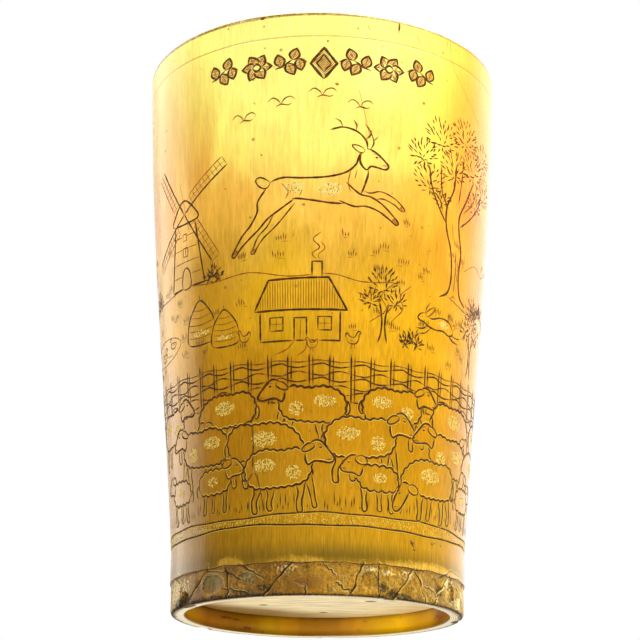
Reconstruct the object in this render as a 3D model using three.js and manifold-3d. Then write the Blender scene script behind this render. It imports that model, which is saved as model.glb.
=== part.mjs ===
// Horn beaker: a cup turned from one hollow length of cattle horn, with a thin horn disc
// sprung into a groove inside the foot as its base.
// Millimetres, +Z up. The origin is the centre of the ring that the cup stands on,
// and -Y is the front. Turns are degrees round the axis from the front, positive to the right.
import * as THREE from 'three';
import { mergeVertices } from 'three/addons/utils/BufferGeometryUtils.js';
import Module from 'manifold-3d';

// Outside of the cup
const HEIGHT = 115;
const RIM_RADIUS = 37;
const FOOT_RADIUS = 29.3;
const PLAIN_BAND_TOP = 12.4;
const SWELL = 0.74;
const SWELL_CLIMB = 1.75;

// Walls and edges
const FOOT_WALL = 2.8;
const RIM_WALL = 1.7;
const FOOT_EDGE_ROUND = 0.7;
const RECESS_EDGE_ROUND = 0.35;

// Line turned round the outside just under the rim
const RIM_LINE_DROP = 5.5;
const RIM_LINE_WIDTH = 0.6;
const RIM_LINE_DEPTH = 0.2;

// Foot band: the lowest stretch, turned a little smaller, where the outer layers have flaked
const FLAKED_BAND_HEIGHT = 6;
const FLAKED_BAND_SINK = 0.25;
const FLAKED_BAND_SHOULDER = 0.3;

// Base disc and the groove that it is sprung into while the horn is hot
const RECESS_DEPTH = 4;
const DISC_THICKNESS = 2.6;
const DISC_EDGE_THICKNESS = 0.9;
const GROOVE_DEPTH = 1;
const DISC_CLEARANCE = 0.12;
const FLOOR_CHAMFER = 0.4;

// Cracks down the foot band, each from its turn at the band's top to its turn at the foot
const CRACK_WIDTH = 0.5;
const CRACK_DEPTH = 0.55;
const CRACK_TURNS = [
  [-45, -58], [-36.5, -36], [-9, -21], [17, 12], [23, 23.5], [38.5, 29], [39.5, 46], [60, 49],
  [84, 88], [103, 95], [121, 127], [140, 133], [163, 168], [186, 180], [205, 212],
  [229, 224], [251, 258], [277, 270], [288, 291],
];

// Scars where one or two outer layers have come away between the cracks
const LAYER_DEPTH = 0.35;
const SCARS = [
  { turn: -43, width: 5.8, rise: 4, layers: 1 },
  { turn: -27, width: 4.6, rise: 3, layers: 1 },
  { turn: 19.5, width: 3.2, rise: 3.4, layers: 1 },
  { turn: 50, width: 4.2, rise: 3.8, layers: 1 },
  { turn: 62, width: 3.2, rise: 4.4, layers: 2 },
  { turn: 112, width: 6, rise: 4.2, layers: 1 },
  { turn: 152, width: 5.2, rise: 3.6, layers: 1 },
  { turn: 196, width: 6.4, rise: 4.2, layers: 1 },
  { turn: 218, width: 4, rise: 3.2, layers: 2 },
  { turn: 265, width: 5.8, rise: 4, layers: 1 },
];

// Chips broken out of the foot's outer edge
const CHIP_DEPTH = 1;
const CHIPS = [
  { turn: -61, width: 4.6, rise: 2.6 },
  { turn: 29, width: 3, rise: 1.8 },
  { turn: 97, width: 3.6, rise: 2 },
  { turn: 175, width: 2.8, rise: 1.6 },
  { turn: 236, width: 4, rise: 2.2 },
];

// Facets round each turned solid, and points along its curves
const FACETS = 72;
const WALL_STEPS = 14;
const ROUND_STEPS = 3;
const RIM_STEPS = 6;
const SCAR_CORNERS = 8;
const CUTTER_PROUD = 0.8;

const bandRadius = FOOT_RADIUS - FLAKED_BAND_SINK;
const recessRadius = bandRadius - FOOT_WALL;
const floorLevel = RECESS_DEPTH + DISC_THICKNESS;

// Outer radius of the wall: upright below the plain band's top, then a cone with a slight swell
function outerRadius(height) {
  if (height <= PLAIN_BAND_TOP) return FOOT_RADIUS;
  const climb = (height - PLAIN_BAND_TOP) / (HEIGHT - PLAIN_BAND_TOP);
  const cone = THREE.MathUtils.lerp(FOOT_RADIUS, RIM_RADIUS, climb);
  return cone + SWELL * Math.sin(Math.PI * climb ** SWELL_CLIMB);
}

// Inner radius: the wall thins steadily from the base disc up to the rim
function innerRadius(height) {
  const climb = (height - floorLevel) / (HEIGHT - floorLevel);
  const wall = THREE.MathUtils.lerp(FOOT_WALL + FLAKED_BAND_SINK, RIM_WALL, climb);
  return outerRadius(height) - wall;
}

// Points of an arc in the section, from one angle to another in quarter turns
function arcPoints(radius, height, size, fromQuarter, toQuarter, steps) {
  const points = [];
  for (let i = 0; i <= steps; i++) {
    const angle = THREE.MathUtils.lerp(fromQuarter, toQuarter, i / steps) * Math.PI / 2;
    points.push(new THREE.Vector2(radius + size * Math.cos(angle), height + size * Math.sin(angle)));
  }
  return points;
}

// Solid of revolution about the Z axis
function revolve(profile) {
  return new THREE.LatheGeometry(profile, FACETS).rotateX(Math.PI / 2);
}

// Outside of the section from the foot's edge up to the turned line and the start of the rim
function outsideSection() {
  const section = arcPoints(bandRadius - FOOT_EDGE_ROUND, FOOT_EDGE_ROUND, FOOT_EDGE_ROUND, -1, 0, ROUND_STEPS);
  section.push(new THREE.Vector2(bandRadius, FLAKED_BAND_HEIGHT - FLAKED_BAND_SHOULDER));
  section.push(new THREE.Vector2(FOOT_RADIUS, FLAKED_BAND_HEIGHT));
  const lineLevel = HEIGHT - RIM_LINE_DROP;
  const wallTop = lineLevel - RIM_LINE_WIDTH / 2;
  for (let i = 0; i <= WALL_STEPS; i++) {
    const height = THREE.MathUtils.lerp(PLAIN_BAND_TOP, wallTop, i / WALL_STEPS);
    section.push(new THREE.Vector2(outerRadius(height), height));
  }
  section.push(new THREE.Vector2(outerRadius(lineLevel) - RIM_LINE_DEPTH, lineLevel));
  const lineTop = lineLevel + RIM_LINE_WIDTH / 2;
  section.push(new THREE.Vector2(outerRadius(lineTop), lineTop));
  return section;
}

// Rounded rim, as wide as the wall is there
function rimSection() {
  const size = RIM_WALL / 2;
  return arcPoints(RIM_RADIUS - size, HEIGHT - size, size, 0, 2, RIM_STEPS);
}

// Inside of the section from the rim down to the top of the groove
function insideSection() {
  const section = [];
  const top = HEIGHT - RIM_WALL;
  for (let i = 0; i <= WALL_STEPS; i++) {
    const height = THREE.MathUtils.lerp(top, floorLevel + DISC_CLEARANCE, i / WALL_STEPS);
    section.push(new THREE.Vector2(innerRadius(height), height));
  }
  return section;
}

// Groove for the disc's bevelled edge, then the recess below it and its eased edge
function grooveAndRecessSection() {
  const middle = RECESS_DEPTH + DISC_THICKNESS / 2;
  const rootHalf = DISC_EDGE_THICKNESS / 2 + DISC_CLEARANCE;
  const section = [
    new THREE.Vector2(recessRadius + GROOVE_DEPTH, middle + rootHalf),
    new THREE.Vector2(recessRadius + GROOVE_DEPTH, middle - rootHalf),
    new THREE.Vector2(recessRadius, RECESS_DEPTH - DISC_CLEARANCE),
  ];
  section.push(...arcPoints(
    recessRadius + RECESS_EDGE_ROUND, RECESS_EDGE_ROUND, RECESS_EDGE_ROUND, -2, -1, ROUND_STEPS,
  ));
  return section;
}

// Closed body through matching rings of points, with flat ends
function loft(rings) {
  const count = rings[0].length;
  const indices = [];
  for (let ring = 0; ring + 1 < rings.length; ring++) {
    for (let i = 0; i < count; i++) {
      const here = ring * count + i;
      const beside = ring * count + (i + 1) % count;
      indices.push(here, beside, beside + count, here, beside + count, here + count);
    }
  }
  const last = (rings.length - 1) * count;
  for (let i = 1; i + 1 < count; i++) {
    indices.push(0, i + 1, i, last, last + i, last + i + 1);
  }
  const geometry = new THREE.BufferGeometry();
  const corners = rings.flat().flatMap((point) => point.toArray());
  geometry.setAttribute('position', new THREE.Float32BufferAttribute(corners, 3));
  geometry.setIndex(indices);
  return geometry;
}

// Point of the foot band at a turn, moved sideways by a length along the surface
function bandPoint(turn, along, height, radius) {
  const angle = THREE.MathUtils.degToRad(turn - 90) + along / bandRadius;
  return new THREE.Vector3(radius * Math.cos(angle), radius * Math.sin(angle), height);
}

// Uneven but repeatable number from 0 to 1
function scatter(seed) {
  const wave = Math.sin(seed * 12.9898) * 43758.5453;
  return wave - Math.floor(wave);
}

// Cutter with a ragged outline that takes layers off the band round a point
function scarCutter(turn, middle, width, rise, depth) {
  const floor = [];
  const lid = [];
  for (let i = 0; i < SCAR_CORNERS; i++) {
    const angle = 2 * Math.PI * i / SCAR_CORNERS;
    const reach = 0.8 + 0.2 * scatter(turn + i);
    const along = width / 2 * reach * Math.cos(angle);
    const height = middle + rise / 2 * reach * Math.sin(angle);
    floor.push(bandPoint(turn, along, height, bandRadius - depth));
    lid.push(bandPoint(turn, along, height, FOOT_RADIUS + CUTTER_PROUD));
  }
  return loft([floor, lid]);
}

// Wedge that opens a crack from the shoulder to below the foot, with a kink on its way
function crackCutter(topTurn, footTurn) {
  const kink = (scatter(topTurn) - 0.5) * FLAKED_BAND_HEIGHT / 4;
  const sweep = THREE.MathUtils.degToRad(footTurn - topTurn) * bandRadius;
  const stations = [
    { along: 0, height: FLAKED_BAND_HEIGHT },
    { along: sweep / 2 + kink, height: FLAKED_BAND_HEIGHT / 2 },
    { along: sweep, height: -CRACK_WIDTH },
  ];
  const lean = Math.atan2(stations[2].height - stations[0].height, sweep);
  const half = CRACK_WIDTH / 2 * (1 + CUTTER_PROUD / CRACK_DEPTH);
  const acrossAlong = half * Math.sin(lean);
  const acrossHeight = -half * Math.cos(lean);
  const rings = stations.map(({ along, height }) => [
    bandPoint(topTurn, along - acrossAlong, height - acrossHeight, bandRadius + CUTTER_PROUD),
    bandPoint(topTurn, along + acrossAlong, height + acrossHeight, bandRadius + CUTTER_PROUD),
    bandPoint(topTurn, along, height, bandRadius - CRACK_DEPTH),
  ]);
  return loft(rings);
}

// All the damage of the foot band as one list of cutters
function damageCutters() {
  const cracks = CRACK_TURNS.map(([top, foot]) => crackCutter(top, foot));
  const middle = FLAKED_BAND_HEIGHT / 2;
  const scars = SCARS.map(({ turn, width, rise, layers }) => (
    scarCutter(turn, middle, width, rise, layers * LAYER_DEPTH)
  ));
  const chips = CHIPS.map(({ turn, width, rise }) => (
    scarCutter(turn, 0, width, 2 * rise, CHIP_DEPTH)
  ));
  return [...cracks, ...scars, ...chips];
}

const wasm = await Module();
wasm.setup();

// Closed geometry as a solid that can be cut
function toSolid(geometry) {
  const bare = geometry.clone();
  bare.deleteAttribute('normal');
  bare.deleteAttribute('uv');
  const merged = mergeVertices(bare);
  return new wasm.Manifold(new wasm.Mesh({
    numProp: 3,
    vertProperties: new Float32Array(merged.attributes.position.array),
    triVerts: new Uint32Array(merged.index.array),
  }));
}

// Solid back to a geometry
function toGeometry(solid) {
  const { vertProperties, triVerts } = solid.getMesh();
  const geometry = new THREE.BufferGeometry();
  geometry.setAttribute('position', new THREE.BufferAttribute(vertProperties, 3));
  geometry.setIndex(new THREE.BufferAttribute(triVerts, 1));
  geometry.computeVertexNormals();
  return geometry;
}

// The cup: one turned tube of horn with its foot band flaked and cracked
function hornBodyGeometry() {
  const section = [
    ...outsideSection(), ...rimSection(), ...insideSection(), ...grooveAndRecessSection(),
  ];
  section.push(section[0].clone());
  let cup = toSolid(revolve(section));
  for (const cutter of damageCutters()) cup = cup.subtract(toSolid(cutter));
  return toGeometry(cup);
}

// The base: a thin disc whose bevelled edge sits in the groove
function baseDiscGeometry() {
  const faceRadius = recessRadius - DISC_CLEARANCE;
  const edgeRadius = faceRadius + GROOVE_DEPTH;
  const middle = RECESS_DEPTH + DISC_THICKNESS / 2;
  const edgeHalf = DISC_EDGE_THICKNESS / 2;
  return revolve([
    new THREE.Vector2(0, RECESS_DEPTH),
    new THREE.Vector2(faceRadius, RECESS_DEPTH),
    new THREE.Vector2(edgeRadius, middle - edgeHalf),
    new THREE.Vector2(edgeRadius, middle + edgeHalf),
    new THREE.Vector2(faceRadius, floorLevel - FLOOR_CHAMFER),
    new THREE.Vector2(faceRadius - FLOOR_CHAMFER, floorLevel),
    new THREE.Vector2(0, floorLevel),
  ]);
}

// Old polished horn: honey yellow, glossy
function hornMaterial() {
  return new THREE.MeshStandardMaterial({ color: 0xe0a93c, roughness: 0.28, metalness: 0 });
}

// Paler horn of the disc, duller underneath where it was only scraped
function discMaterial() {
  return new THREE.MeshStandardMaterial({ color: 0xe8cf9a, roughness: 0.5, metalness: 0 });
}

function namedMesh(name, geometry, material) {
  const mesh = new THREE.Mesh(geometry, material);
  mesh.name = name;
  return mesh;
}

const hornBeaker = new THREE.Group();
hornBeaker.add(namedMesh('horn_body', hornBodyGeometry(), hornMaterial()));
hornBeaker.add(namedMesh('base_disc', baseDiscGeometry(), discMaterial()));

export default hornBeaker;
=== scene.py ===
import math
from types import SimpleNamespace

import bpy
import numpy as np
from mathutils import Matrix, Vector


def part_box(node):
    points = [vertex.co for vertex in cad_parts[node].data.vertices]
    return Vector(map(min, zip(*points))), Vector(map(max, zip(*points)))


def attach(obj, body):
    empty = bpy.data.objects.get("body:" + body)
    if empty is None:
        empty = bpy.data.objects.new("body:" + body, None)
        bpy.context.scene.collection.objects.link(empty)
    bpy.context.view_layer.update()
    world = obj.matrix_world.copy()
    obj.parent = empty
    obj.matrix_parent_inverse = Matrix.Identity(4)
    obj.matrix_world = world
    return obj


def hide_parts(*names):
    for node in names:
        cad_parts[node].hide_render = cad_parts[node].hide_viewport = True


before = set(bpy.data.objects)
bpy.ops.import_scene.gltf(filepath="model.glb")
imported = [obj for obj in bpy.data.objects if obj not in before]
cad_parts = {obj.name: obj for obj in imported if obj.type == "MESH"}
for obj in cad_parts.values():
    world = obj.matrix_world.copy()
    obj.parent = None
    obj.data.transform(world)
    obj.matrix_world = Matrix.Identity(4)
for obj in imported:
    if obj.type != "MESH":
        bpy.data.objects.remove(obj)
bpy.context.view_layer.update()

# The view: a long lens close to the beaker and below its foot, looking up a little, so that the
# underside of the foot shows. Its place and tilt were fitted to the outline in the photograph.
CAMERA_DISTANCE = 0.3529
CAMERA_DROP = 0.0523
CAMERA_LENS = 99.64
CAMERA_FILM = 36.0
CAMERA_NEAREST = 0.01
CAMERA_PITCH = 17.99
CAMERA_LEAN = 0.592


def put(name, data):
    """A new object in the scene."""
    thing = bpy.data.objects.new(name, data)
    bpy.context.scene.collection.objects.link(thing)
    return thing


camera_data = bpy.data.cameras.new("view")
camera_data.lens = CAMERA_LENS
camera_data.sensor_width = CAMERA_FILM
camera_data.clip_start = CAMERA_NEAREST
camera = put("view", camera_data)
camera.matrix_world = (
    Matrix.Translation((0.0, -CAMERA_DISTANCE, -CAMERA_DROP))
    @ Matrix.Rotation(math.radians(90.0 + CAMERA_PITCH), 4, "X")
    @ Matrix.Rotation(math.radians(CAMERA_LEAN), 4, "Z")
)
bpy.context.scene.camera = camera
bpy.context.scene.view_settings.view_transform = "Standard"

# The surroundings: plain white for the camera, bright behind the beaker and dim behind the
# photographer, so that polished horn mirrors white at its sides and little at its front.
AMBIENT_STRENGTH = 0.62
MIRRORED_BACK = 0.9
MIRRORED_FRONT = 0.04
TURNS_BRIGHT = (-0.1, 0.7)


def wire(*links):
    """Gives each input its value: a number, a colour, a reading, or a node's or other output."""
    for value, socket in links:
        value = getattr(value, "socket", value)
        if isinstance(value, bpy.types.Node):
            value = value.outputs[0]
        if isinstance(value, bpy.types.NodeSocket):
            socket.id_data.links.new(value, socket)
        else:
            socket.default_value = (*value, 1.0) if socket.type == "RGBA" else value


def set_up(node, **settings):
    """Sets a node's properties, or its inputs, by name."""
    for name, value in settings.items():
        if hasattr(node, name):
            setattr(node, name, value)
        else:
            wire((value, node.inputs[name.replace("_", " ")]))
    return node


def add(tree, kind, **settings):
    """A new node, set up by name."""
    return set_up(tree.nodes.new(kind), **settings)


class Reading:
    """A value that varies from place to place; sums done on it make the nodes for them."""

    def __init__(self, socket):
        self.socket = socket

    def math(self, operation, *others, clamp=False):
        """The outcome of one operation on this value and on up to two more."""
        node = add(self.socket.id_data, "ShaderNodeMath", operation=operation, use_clamp=clamp)
        wire(*zip((self, *others), node.inputs))
        return Reading(node.outputs[0])

    def __add__(self, other):
        return self.math("ADD", other)

    def __sub__(self, other):
        return self.math("SUBTRACT", other)

    def __rsub__(self, other):
        return self.math("MULTIPLY_ADD", -1.0, other)

    def __mul__(self, other):
        return self.math("MULTIPLY", other)

    def __truediv__(self, other):
        return self.math("DIVIDE", other)

    def __abs__(self):
        return self.math("ABSOLUTE")

    def most(self, other):
        """The greater of two values."""
        return self.math("MAXIMUM", other)

    def span(self, low, high, to_low=0.0, to_high=1.0):
        """The value carried from one range to another and kept within it."""
        tree = self.socket.id_data
        node = add(tree, "ShaderNodeMapRange", clamp=True, Value=self, From_Min=low,
                   From_Max=high, To_Min=to_low, To_Max=to_high)
        return Reading(node.outputs[0])


world = bpy.data.worlds.new("white_surroundings")
world.use_nodes = True
bpy.context.scene.world = world
sky = world.node_tree
path = add(sky, "ShaderNodeLightPath")
way = add(sky, "ShaderNodeTexCoord").outputs["Generated"]
facing = add(sky, "ShaderNodeSeparateXYZ", Vector=way)
lit = Reading(facing.outputs["Y"]).span(*TURNS_BRIGHT, MIRRORED_FRONT, MIRRORED_BACK)
mirrored = Reading(path.outputs["Is Glossy Ray"]).most(path.outputs["Is Transmission Ray"])
strength = (lit - AMBIENT_STRENGTH) * mirrored + AMBIENT_STRENGTH
strength = (1.0 - strength) * path.outputs["Is Camera Ray"] + strength
set_up(sky.nodes["Background"], Color=(1.0, 1.0, 1.0), Strength=strength)

# The lamps: two tall soft panels beside and behind the beaker, which its sides mirror, a soft
# one high behind it that shines down into the mouth, one high on the right, a small one near
# the rim on the left, and one below for the underside.
LAMPS = {
    # name: (place, aimed at, width, height, radiance)
    "left_panel": ((-0.674, 0.373, 0.50), (0.0, 0.0, 0.50), 0.60, 0.98, 1.35),
    "right_panel": ((0.62, 0.86, 0.50), (0.0, 0.0, 0.50), 0.80, 0.98, 0.65),
    "mouth_panel": ((0.10, 0.16, 0.50), (0.0, 0.0, 0.11), 0.36, 0.36, 6.0),
    "right_fill": ((0.50, -0.25, 0.95), (0.0, 0.0, 0.06), 0.80, 0.80, 9.5),
    "left_near": ((-0.17, -0.13, 0.27), (-0.02, 0.0, 0.09), 0.08, 0.08, 9.0),
    "under_fill": ((-0.22, -0.46, -0.36), (0.0, 0.0, 0.0), 0.50, 0.50, 4.8),
}


def hang_lamp(name, place, aim, width, height, radiance):
    """A rectangular lamp of even radiance, unseen by the camera."""
    lamp = bpy.data.lights.new(name, "AREA")
    lamp.shape = "RECTANGLE"
    lamp.size = width
    lamp.size_y = height
    lamp.energy = radiance * math.pi * width * height
    holder = put(name, lamp)
    holder.location = place
    look = Vector(aim) - Vector(place)
    holder.rotation_euler = look.to_track_quat("-Z", "Y").to_euler()
    holder.visible_camera = False


for lamp_name, lamp_row in LAMPS.items():
    hang_lamp(lamp_name, *lamp_row)


# The horn wall: one turned and scraped tube of cattle horn, polished outside, with a line
# turned under the rim and an old foot band whose outer layers have cracked, flaked and
# gathered dirt. Turns are degrees round the axis from the front, positive to the right.
WALL_NODE = "horn_body"
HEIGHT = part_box(WALL_NODE)[1].z
RIM_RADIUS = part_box(WALL_NODE)[1].x
FOOT_RADIUS = 0.0293
PLAIN_BAND_TOP = 0.0124
SWELL = 0.00074
SWELL_CLIMB = 1.75
FOOT_WALL = 0.0028
RIM_WALL = 0.0017
FOOT_EDGE_ROUND = 0.0007
RECESS_EDGE_ROUND = 0.00035
RIM_LINE_DROP = 0.0055
RIM_LINE_WIDTH = 0.0004
RIM_LINE_DEPTH = 0.0001
FLAKED_BAND_HEIGHT = 0.006
FLAKED_BAND_SINK = 0.00025
SHOULDER_BEVEL = 0.0003
DISC_NODE = "base_disc"
RECESS_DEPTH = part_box(DISC_NODE)[0].z
FLOOR_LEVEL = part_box(DISC_NODE)[1].z
GROOVE_DEPTH = 0.001
GROOVE_HALF = 0.0005
SIDES_ROUND = 1070
BAND_RINGS = 27

BAND_RADIUS = FOOT_RADIUS - FLAKED_BAND_SINK
RECESS_RADIUS = BAND_RADIUS - FOOT_WALL
# On the band, as if it were unrolled: millimetres to a degree, all round it, and up it.
DEGREE = math.radians(1.0) * BAND_RADIUS * 1000
ROUND_THE_BAND = 2 * math.pi * BAND_RADIUS * 1000
BAND_TALL = FLAKED_BAND_HEIGHT * 1000

# Cracks that run the band's whole height: turn at its top, turn at the foot.
CRACK_TURNS = [
    (-45, -58), (-36.5, -36), (-9, -21), (17, 12), (23, 23.5), (38.5, 29), (39.5, 46), (60, 49),
    (84, 88), (103, 95), (121, 127), (140, 133), (163, 168), (186, 180), (205, 212),
    (229, 224), (251, 258), (277, 270), (288, 291),
]
# Short cracks between them, as turn and height in mm along each.
SHORT_CRACKS = [
    (1.6, 6.2, 3.6, 5.2, 6.4, 3.8), (54, 5.5, 58, 6.4, 62, 7.5, 68, 6.9, 71, 6.1),
    (57, 4.0, 60.6, 0.8), (-30, 6.2, -24, 4.6, -20, 3.2), (-46, 5.6, -36, 5.1, -30, 3.4),
    (-38, 2.2, -33, 1.6, -26, 0.4), (-8, 2.6, -4, 1.5, -5, 0), (7, 2.4, 9, 1.4, 12, 1.1),
    (44, 3.2, 50, 2.6, 52, 1.0), (68, 4.6, 74, 2.4, 73, 0), (-70, 5.8, -64, 3.6, -66, 0),
    (110, 4.8, 116, 2.6), (150, 6.2, 154, 3.2, 152, 0.6), (194, 5, 201, 2.2), (240, 6, 244, 2),
    (262, 4.2, 268, 1.4), (-76, 4, -84, 1.6),
]
# Scars where one or two layers have come away: turn, width mm, rise mm, layers.
SCARS = [
    (-43, 5.8, 4.0, 1), (-27, 4.6, 3.0, 1), (19.5, 3.2, 3.4, 1), (50, 4.2, 3.8, 1),
    (62, 3.2, 4.4, 2), (112, 6.0, 4.2, 1), (152, 5.2, 3.6, 1), (196, 6.4, 4.2, 1),
    (218, 4.0, 3.2, 2), (265, 5.8, 4.0, 1),
]
# Chips broken out of the foot's edge: turn, width mm, rise mm.
CHIPS = [(-61, 4.6, 2.6), (29, 3.0, 1.8), (97, 3.6, 2.0), (175, 2.8, 1.6), (236, 4.0, 2.2)]
LAYER_DEPTH = 0.35
CHIP_DEPTH = 1.0
CRACK_DEPTH = 0.5
CRACK_HALF = 0.22
DEEPEST_PLATE = 0.00075
# Small waves that make every edge on the band uneven: how many round it, size.
EDGE_WAVES = ((23, 0.05), (61, 0.045), (149, 0.04))
# Tones that the material paints on the band, in the order of the amounts below.
TONE_NAMES = ("band_grey", "band_brown", "band_pale", "band_dirt")
DIRT = 3
# Soft patches of tone on the band: turn, height mm, half width in degrees, half height mm, amount
# of grey-green, brown, pale and dirt. The pale ones at the band's left end, near turns -71 and -86,
# are a painted reflection.
BAND_PATCHES = [
    (-43, 3.4, 7, 2.3, 1, 0, 0, 0), (-27, 3.7, 5, 1.5, 0.9, 0, 0.1, 0),
    (-51, 2.4, 4, 2.4, 0.1, 0.8, 0, 0.3), (-34, 4.9, 4, 1.2, 0, 0.9, 0, 0.2),
    (-28, 1, 10, 1, 0.1, 0.8, 0.2, 0.4), (-20, 1.4, 5, 1.1, 0.1, 0.5, 0, 0.5),
    (-60, 0.9, 6, 1.2, 0.1, 0.2, 0, 1), (-67, 0.6, 6, 1.2, 0.1, 0.1, 0, 1),
    (-71, 3.4, 9, 3.0, 0.3, 0, 0.8, 0), (-86, 2.8, 7, 2.4, 0, 0, 0.9, 0),
    (-61, 3.8, 4, 1.5, 0.5, 0, 0.5, 0), (-12, 5.0, 5, 0.9, 0, 0, 0.4, 0),
    (-5, 2.2, 9, 1.8, 0, 0.8, 0, 0.1), (7, 3.4, 4, 2.2, 0, 0.4, 0, 0),
    (20, 5.2, 4, 0.5, 0, 0, 0.7, 0), (25, 1.7, 2.5, 1.2, 0.6, 0.2, 0, 0.75),
    (33, 0.6, 6, 0.7, 0.3, 0.5, 0.1, 0.55), (27, 4.8, 3, 0.8, 0, 0, 0.5, 0),
    (35, 4.6, 4, 1, 0, 0.1, 0.45, 0), (46, 3.6, 5, 1.3, 0, 0.5, 0.1, 0.1),
    (53, 2.2, 3, 2.2, 0, 0.7, 0, 0.3), (60, 4.4, 5, 1.8, 0, 0.1, 0.8, 0),
    (64, 1.6, 3, 1.8, 0, 0.5, 0.1, 0.4), (70, 1.5, 4, 1.5, 0, 0.1, 0.9, 0),
    (78, 3.6, 6, 2.2, 0.1, 0.3, 0.5, 0.1), (90, 3.0, 9, 2.4, 0.3, 0.4, 0.2, 0.2),
    (112, 3.0, 8, 2.2, 0.8, 0.2, 0, 0), (132, 2.4, 8, 2.0, 0, 0.7, 0.1, 0.2),
    (152, 3.4, 8, 2.0, 0.5, 0.2, 0.3, 0), (176, 1.4, 9, 1.4, 0.1, 0.5, 0, 0.8),
    (196, 3.2, 9, 2.2, 0.9, 0.1, 0, 0), (216, 2.2, 8, 1.8, 0, 0.8, 0.1, 0.3),
    (240, 1.4, 9, 1.4, 0.2, 0.4, 0, 0.8), (262, 3.2, 9, 2.0, 0.3, 0.1, 0.6, 0),
]
# Where crusted dirt lies thick along the foot's edge: turn, half width in degrees, mm high.
FOOT_DIRT = [(-42, 24, 0.9), (29, 8, 0.7), (98, 14, 0.5), (176, 20, 0.7), (238, 16, 0.6)]
# Smooth ledges of paler horn left standing above the band: turn, half width in degrees, mm
# high, amount.
LEDGES = [
    (-34, 7, 2.0, 1.0), (-8, 12, 1.4, 0.9), (48, 26, 1.6, 1.0), (108, 16, 1.2, 0.7),
    (160, 22, 1.6, 0.9), (214, 14, 1.2, 0.7), (262, 20, 1.6, 0.9),
]


def outer_radius(height):
    """Radius of the turned outside at a height, above the foot band."""
    climb = np.clip((height - PLAIN_BAND_TOP) / (HEIGHT - PLAIN_BAND_TOP), 0.0, 1.0)
    cone = FOOT_RADIUS + (RIM_RADIUS - FOOT_RADIUS) * climb
    return cone + SWELL * np.sin(math.pi * climb**SWELL_CLIMB)


def inner_radius(height):
    """Radius of the inside at a height: the wall thins steadily up to the rim."""
    climb = (height - FLOOR_LEVEL) / (HEIGHT - FLOOR_LEVEL)
    wall = FOOT_WALL + FLAKED_BAND_SINK + (RIM_WALL - FOOT_WALL - FLAKED_BAND_SINK) * climb
    return outer_radius(height) - wall


def arc(radius, height, size, start, end, steps):
    """Points of a rounding in the section, from one angle to another in degrees."""
    turns = np.radians(np.linspace(start, end, steps))
    return [(radius + size * math.cos(t), height + size * math.sin(t)) for t in turns]


def body_section():
    """The wall's closed section from the foot's edge up and down inside, with a zone each.

    Zones: 0 the foot band, 1 the polished outside, 2 the rim, 3 the inside, 4 the recess under
    the base, 5 the ring that the cup stands on.
    """
    band_top = FLAKED_BAND_HEIGHT - SHOULDER_BEVEL
    band = arc(BAND_RADIUS - FOOT_EDGE_ROUND, FOOT_EDGE_ROUND, FOOT_EDGE_ROUND, -90, 0, 6)
    band += [(BAND_RADIUS, z) for z in np.linspace(0.0009, band_top, BAND_RINGS)]
    band += [(FOOT_RADIUS - 0.0001, band_top + 0.0002), (FOOT_RADIUS, FLAKED_BAND_HEIGHT)]
    line = HEIGHT - RIM_LINE_DROP
    half = RIM_LINE_WIDTH / 2
    levels = [*np.arange(0.0062, 0.0082, 0.0002), 0.009, 0.0107]
    levels += [*np.linspace(PLAIN_BAND_TOP, line - 2 * half, 15), line - half]
    outside = [(outer_radius(z), z) for z in levels]
    outside += [(outer_radius(line) - RIM_LINE_DEPTH, line)]
    outside += [(outer_radius(z), z) for z in (line + half, line + 2 * half, HEIGHT - 0.0012)]
    edge = RIM_WALL / 2
    rim = arc(RIM_RADIUS - edge, HEIGHT - edge, edge, 0, 180, 8)
    inside = np.linspace(HEIGHT - RIM_WALL, FLOOR_LEVEL + 0.0001, 7)
    inside = [(inner_radius(z), z) for z in inside]
    middle = (RECESS_DEPTH + FLOOR_LEVEL) / 2
    recess = [
        (RECESS_RADIUS + GROOVE_DEPTH, middle + GROOVE_HALF),
        (RECESS_RADIUS + GROOVE_DEPTH, middle - GROOVE_HALF),
        (RECESS_RADIUS, RECESS_DEPTH - 0.0001),
        (RECESS_RADIUS, RECESS_DEPTH / 2),
    ]
    turned = RECESS_RADIUS + RECESS_EDGE_ROUND
    recess += arc(turned, RECESS_EDGE_ROUND, RECESS_EDGE_ROUND, 180, 225, 3)
    ring = arc(turned, RECESS_EDGE_ROUND, RECESS_EDGE_ROUND, 248, 270, 2)
    ring += [((turned + BAND_RADIUS - FOOT_EDGE_ROUND) / 2, 0.0)]
    parts = (band, outside, rim, inside, recess, ring)
    zones = np.concatenate([np.full(len(part), zone) for zone, part in enumerate(parts)])
    return np.array(sum(parts, [])), zones


def revolve(name, section, sides, closed):
    """A mesh turned from section points (radius, height); an open one ends on the axis."""
    turns = np.linspace(0.0, 2 * math.pi, sides, endpoint=False)
    count = len(section)
    radius, height = section.T
    rings = (np.outer(np.cos(turns), radius), np.outer(np.sin(turns), radius))
    points = np.stack([*rings, np.tile(height, (sides, 1))], axis=-1).reshape(-1, 3)
    steps = count if closed else count - 1
    here = np.arange(sides)[:, None] * count + np.arange(steps)[None, :]
    up = np.arange(sides)[:, None] * count + (np.arange(steps)[None, :] + 1) % count
    beside = (here + count) % (sides * count)
    beside_up = (up + count) % (sides * count)
    faces = np.stack([here, beside, beside_up, up], axis=-1).reshape(-1, 4)
    mesh = bpy.data.meshes.new(name)
    mesh.from_pydata(points.tolist(), [], faces.tolist())
    return put(name, mesh)


def scatter(seed):
    """An uneven but repeatable number from 0 to 1."""
    return math.sin(seed * 12.9898) * 43758.5453 % 1.0


def short_way(offset, whole):
    """An offset round a circle, taken the shorter way: from minus half the circle to half."""
    return (offset + whole / 2) % whole - whole / 2


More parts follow.
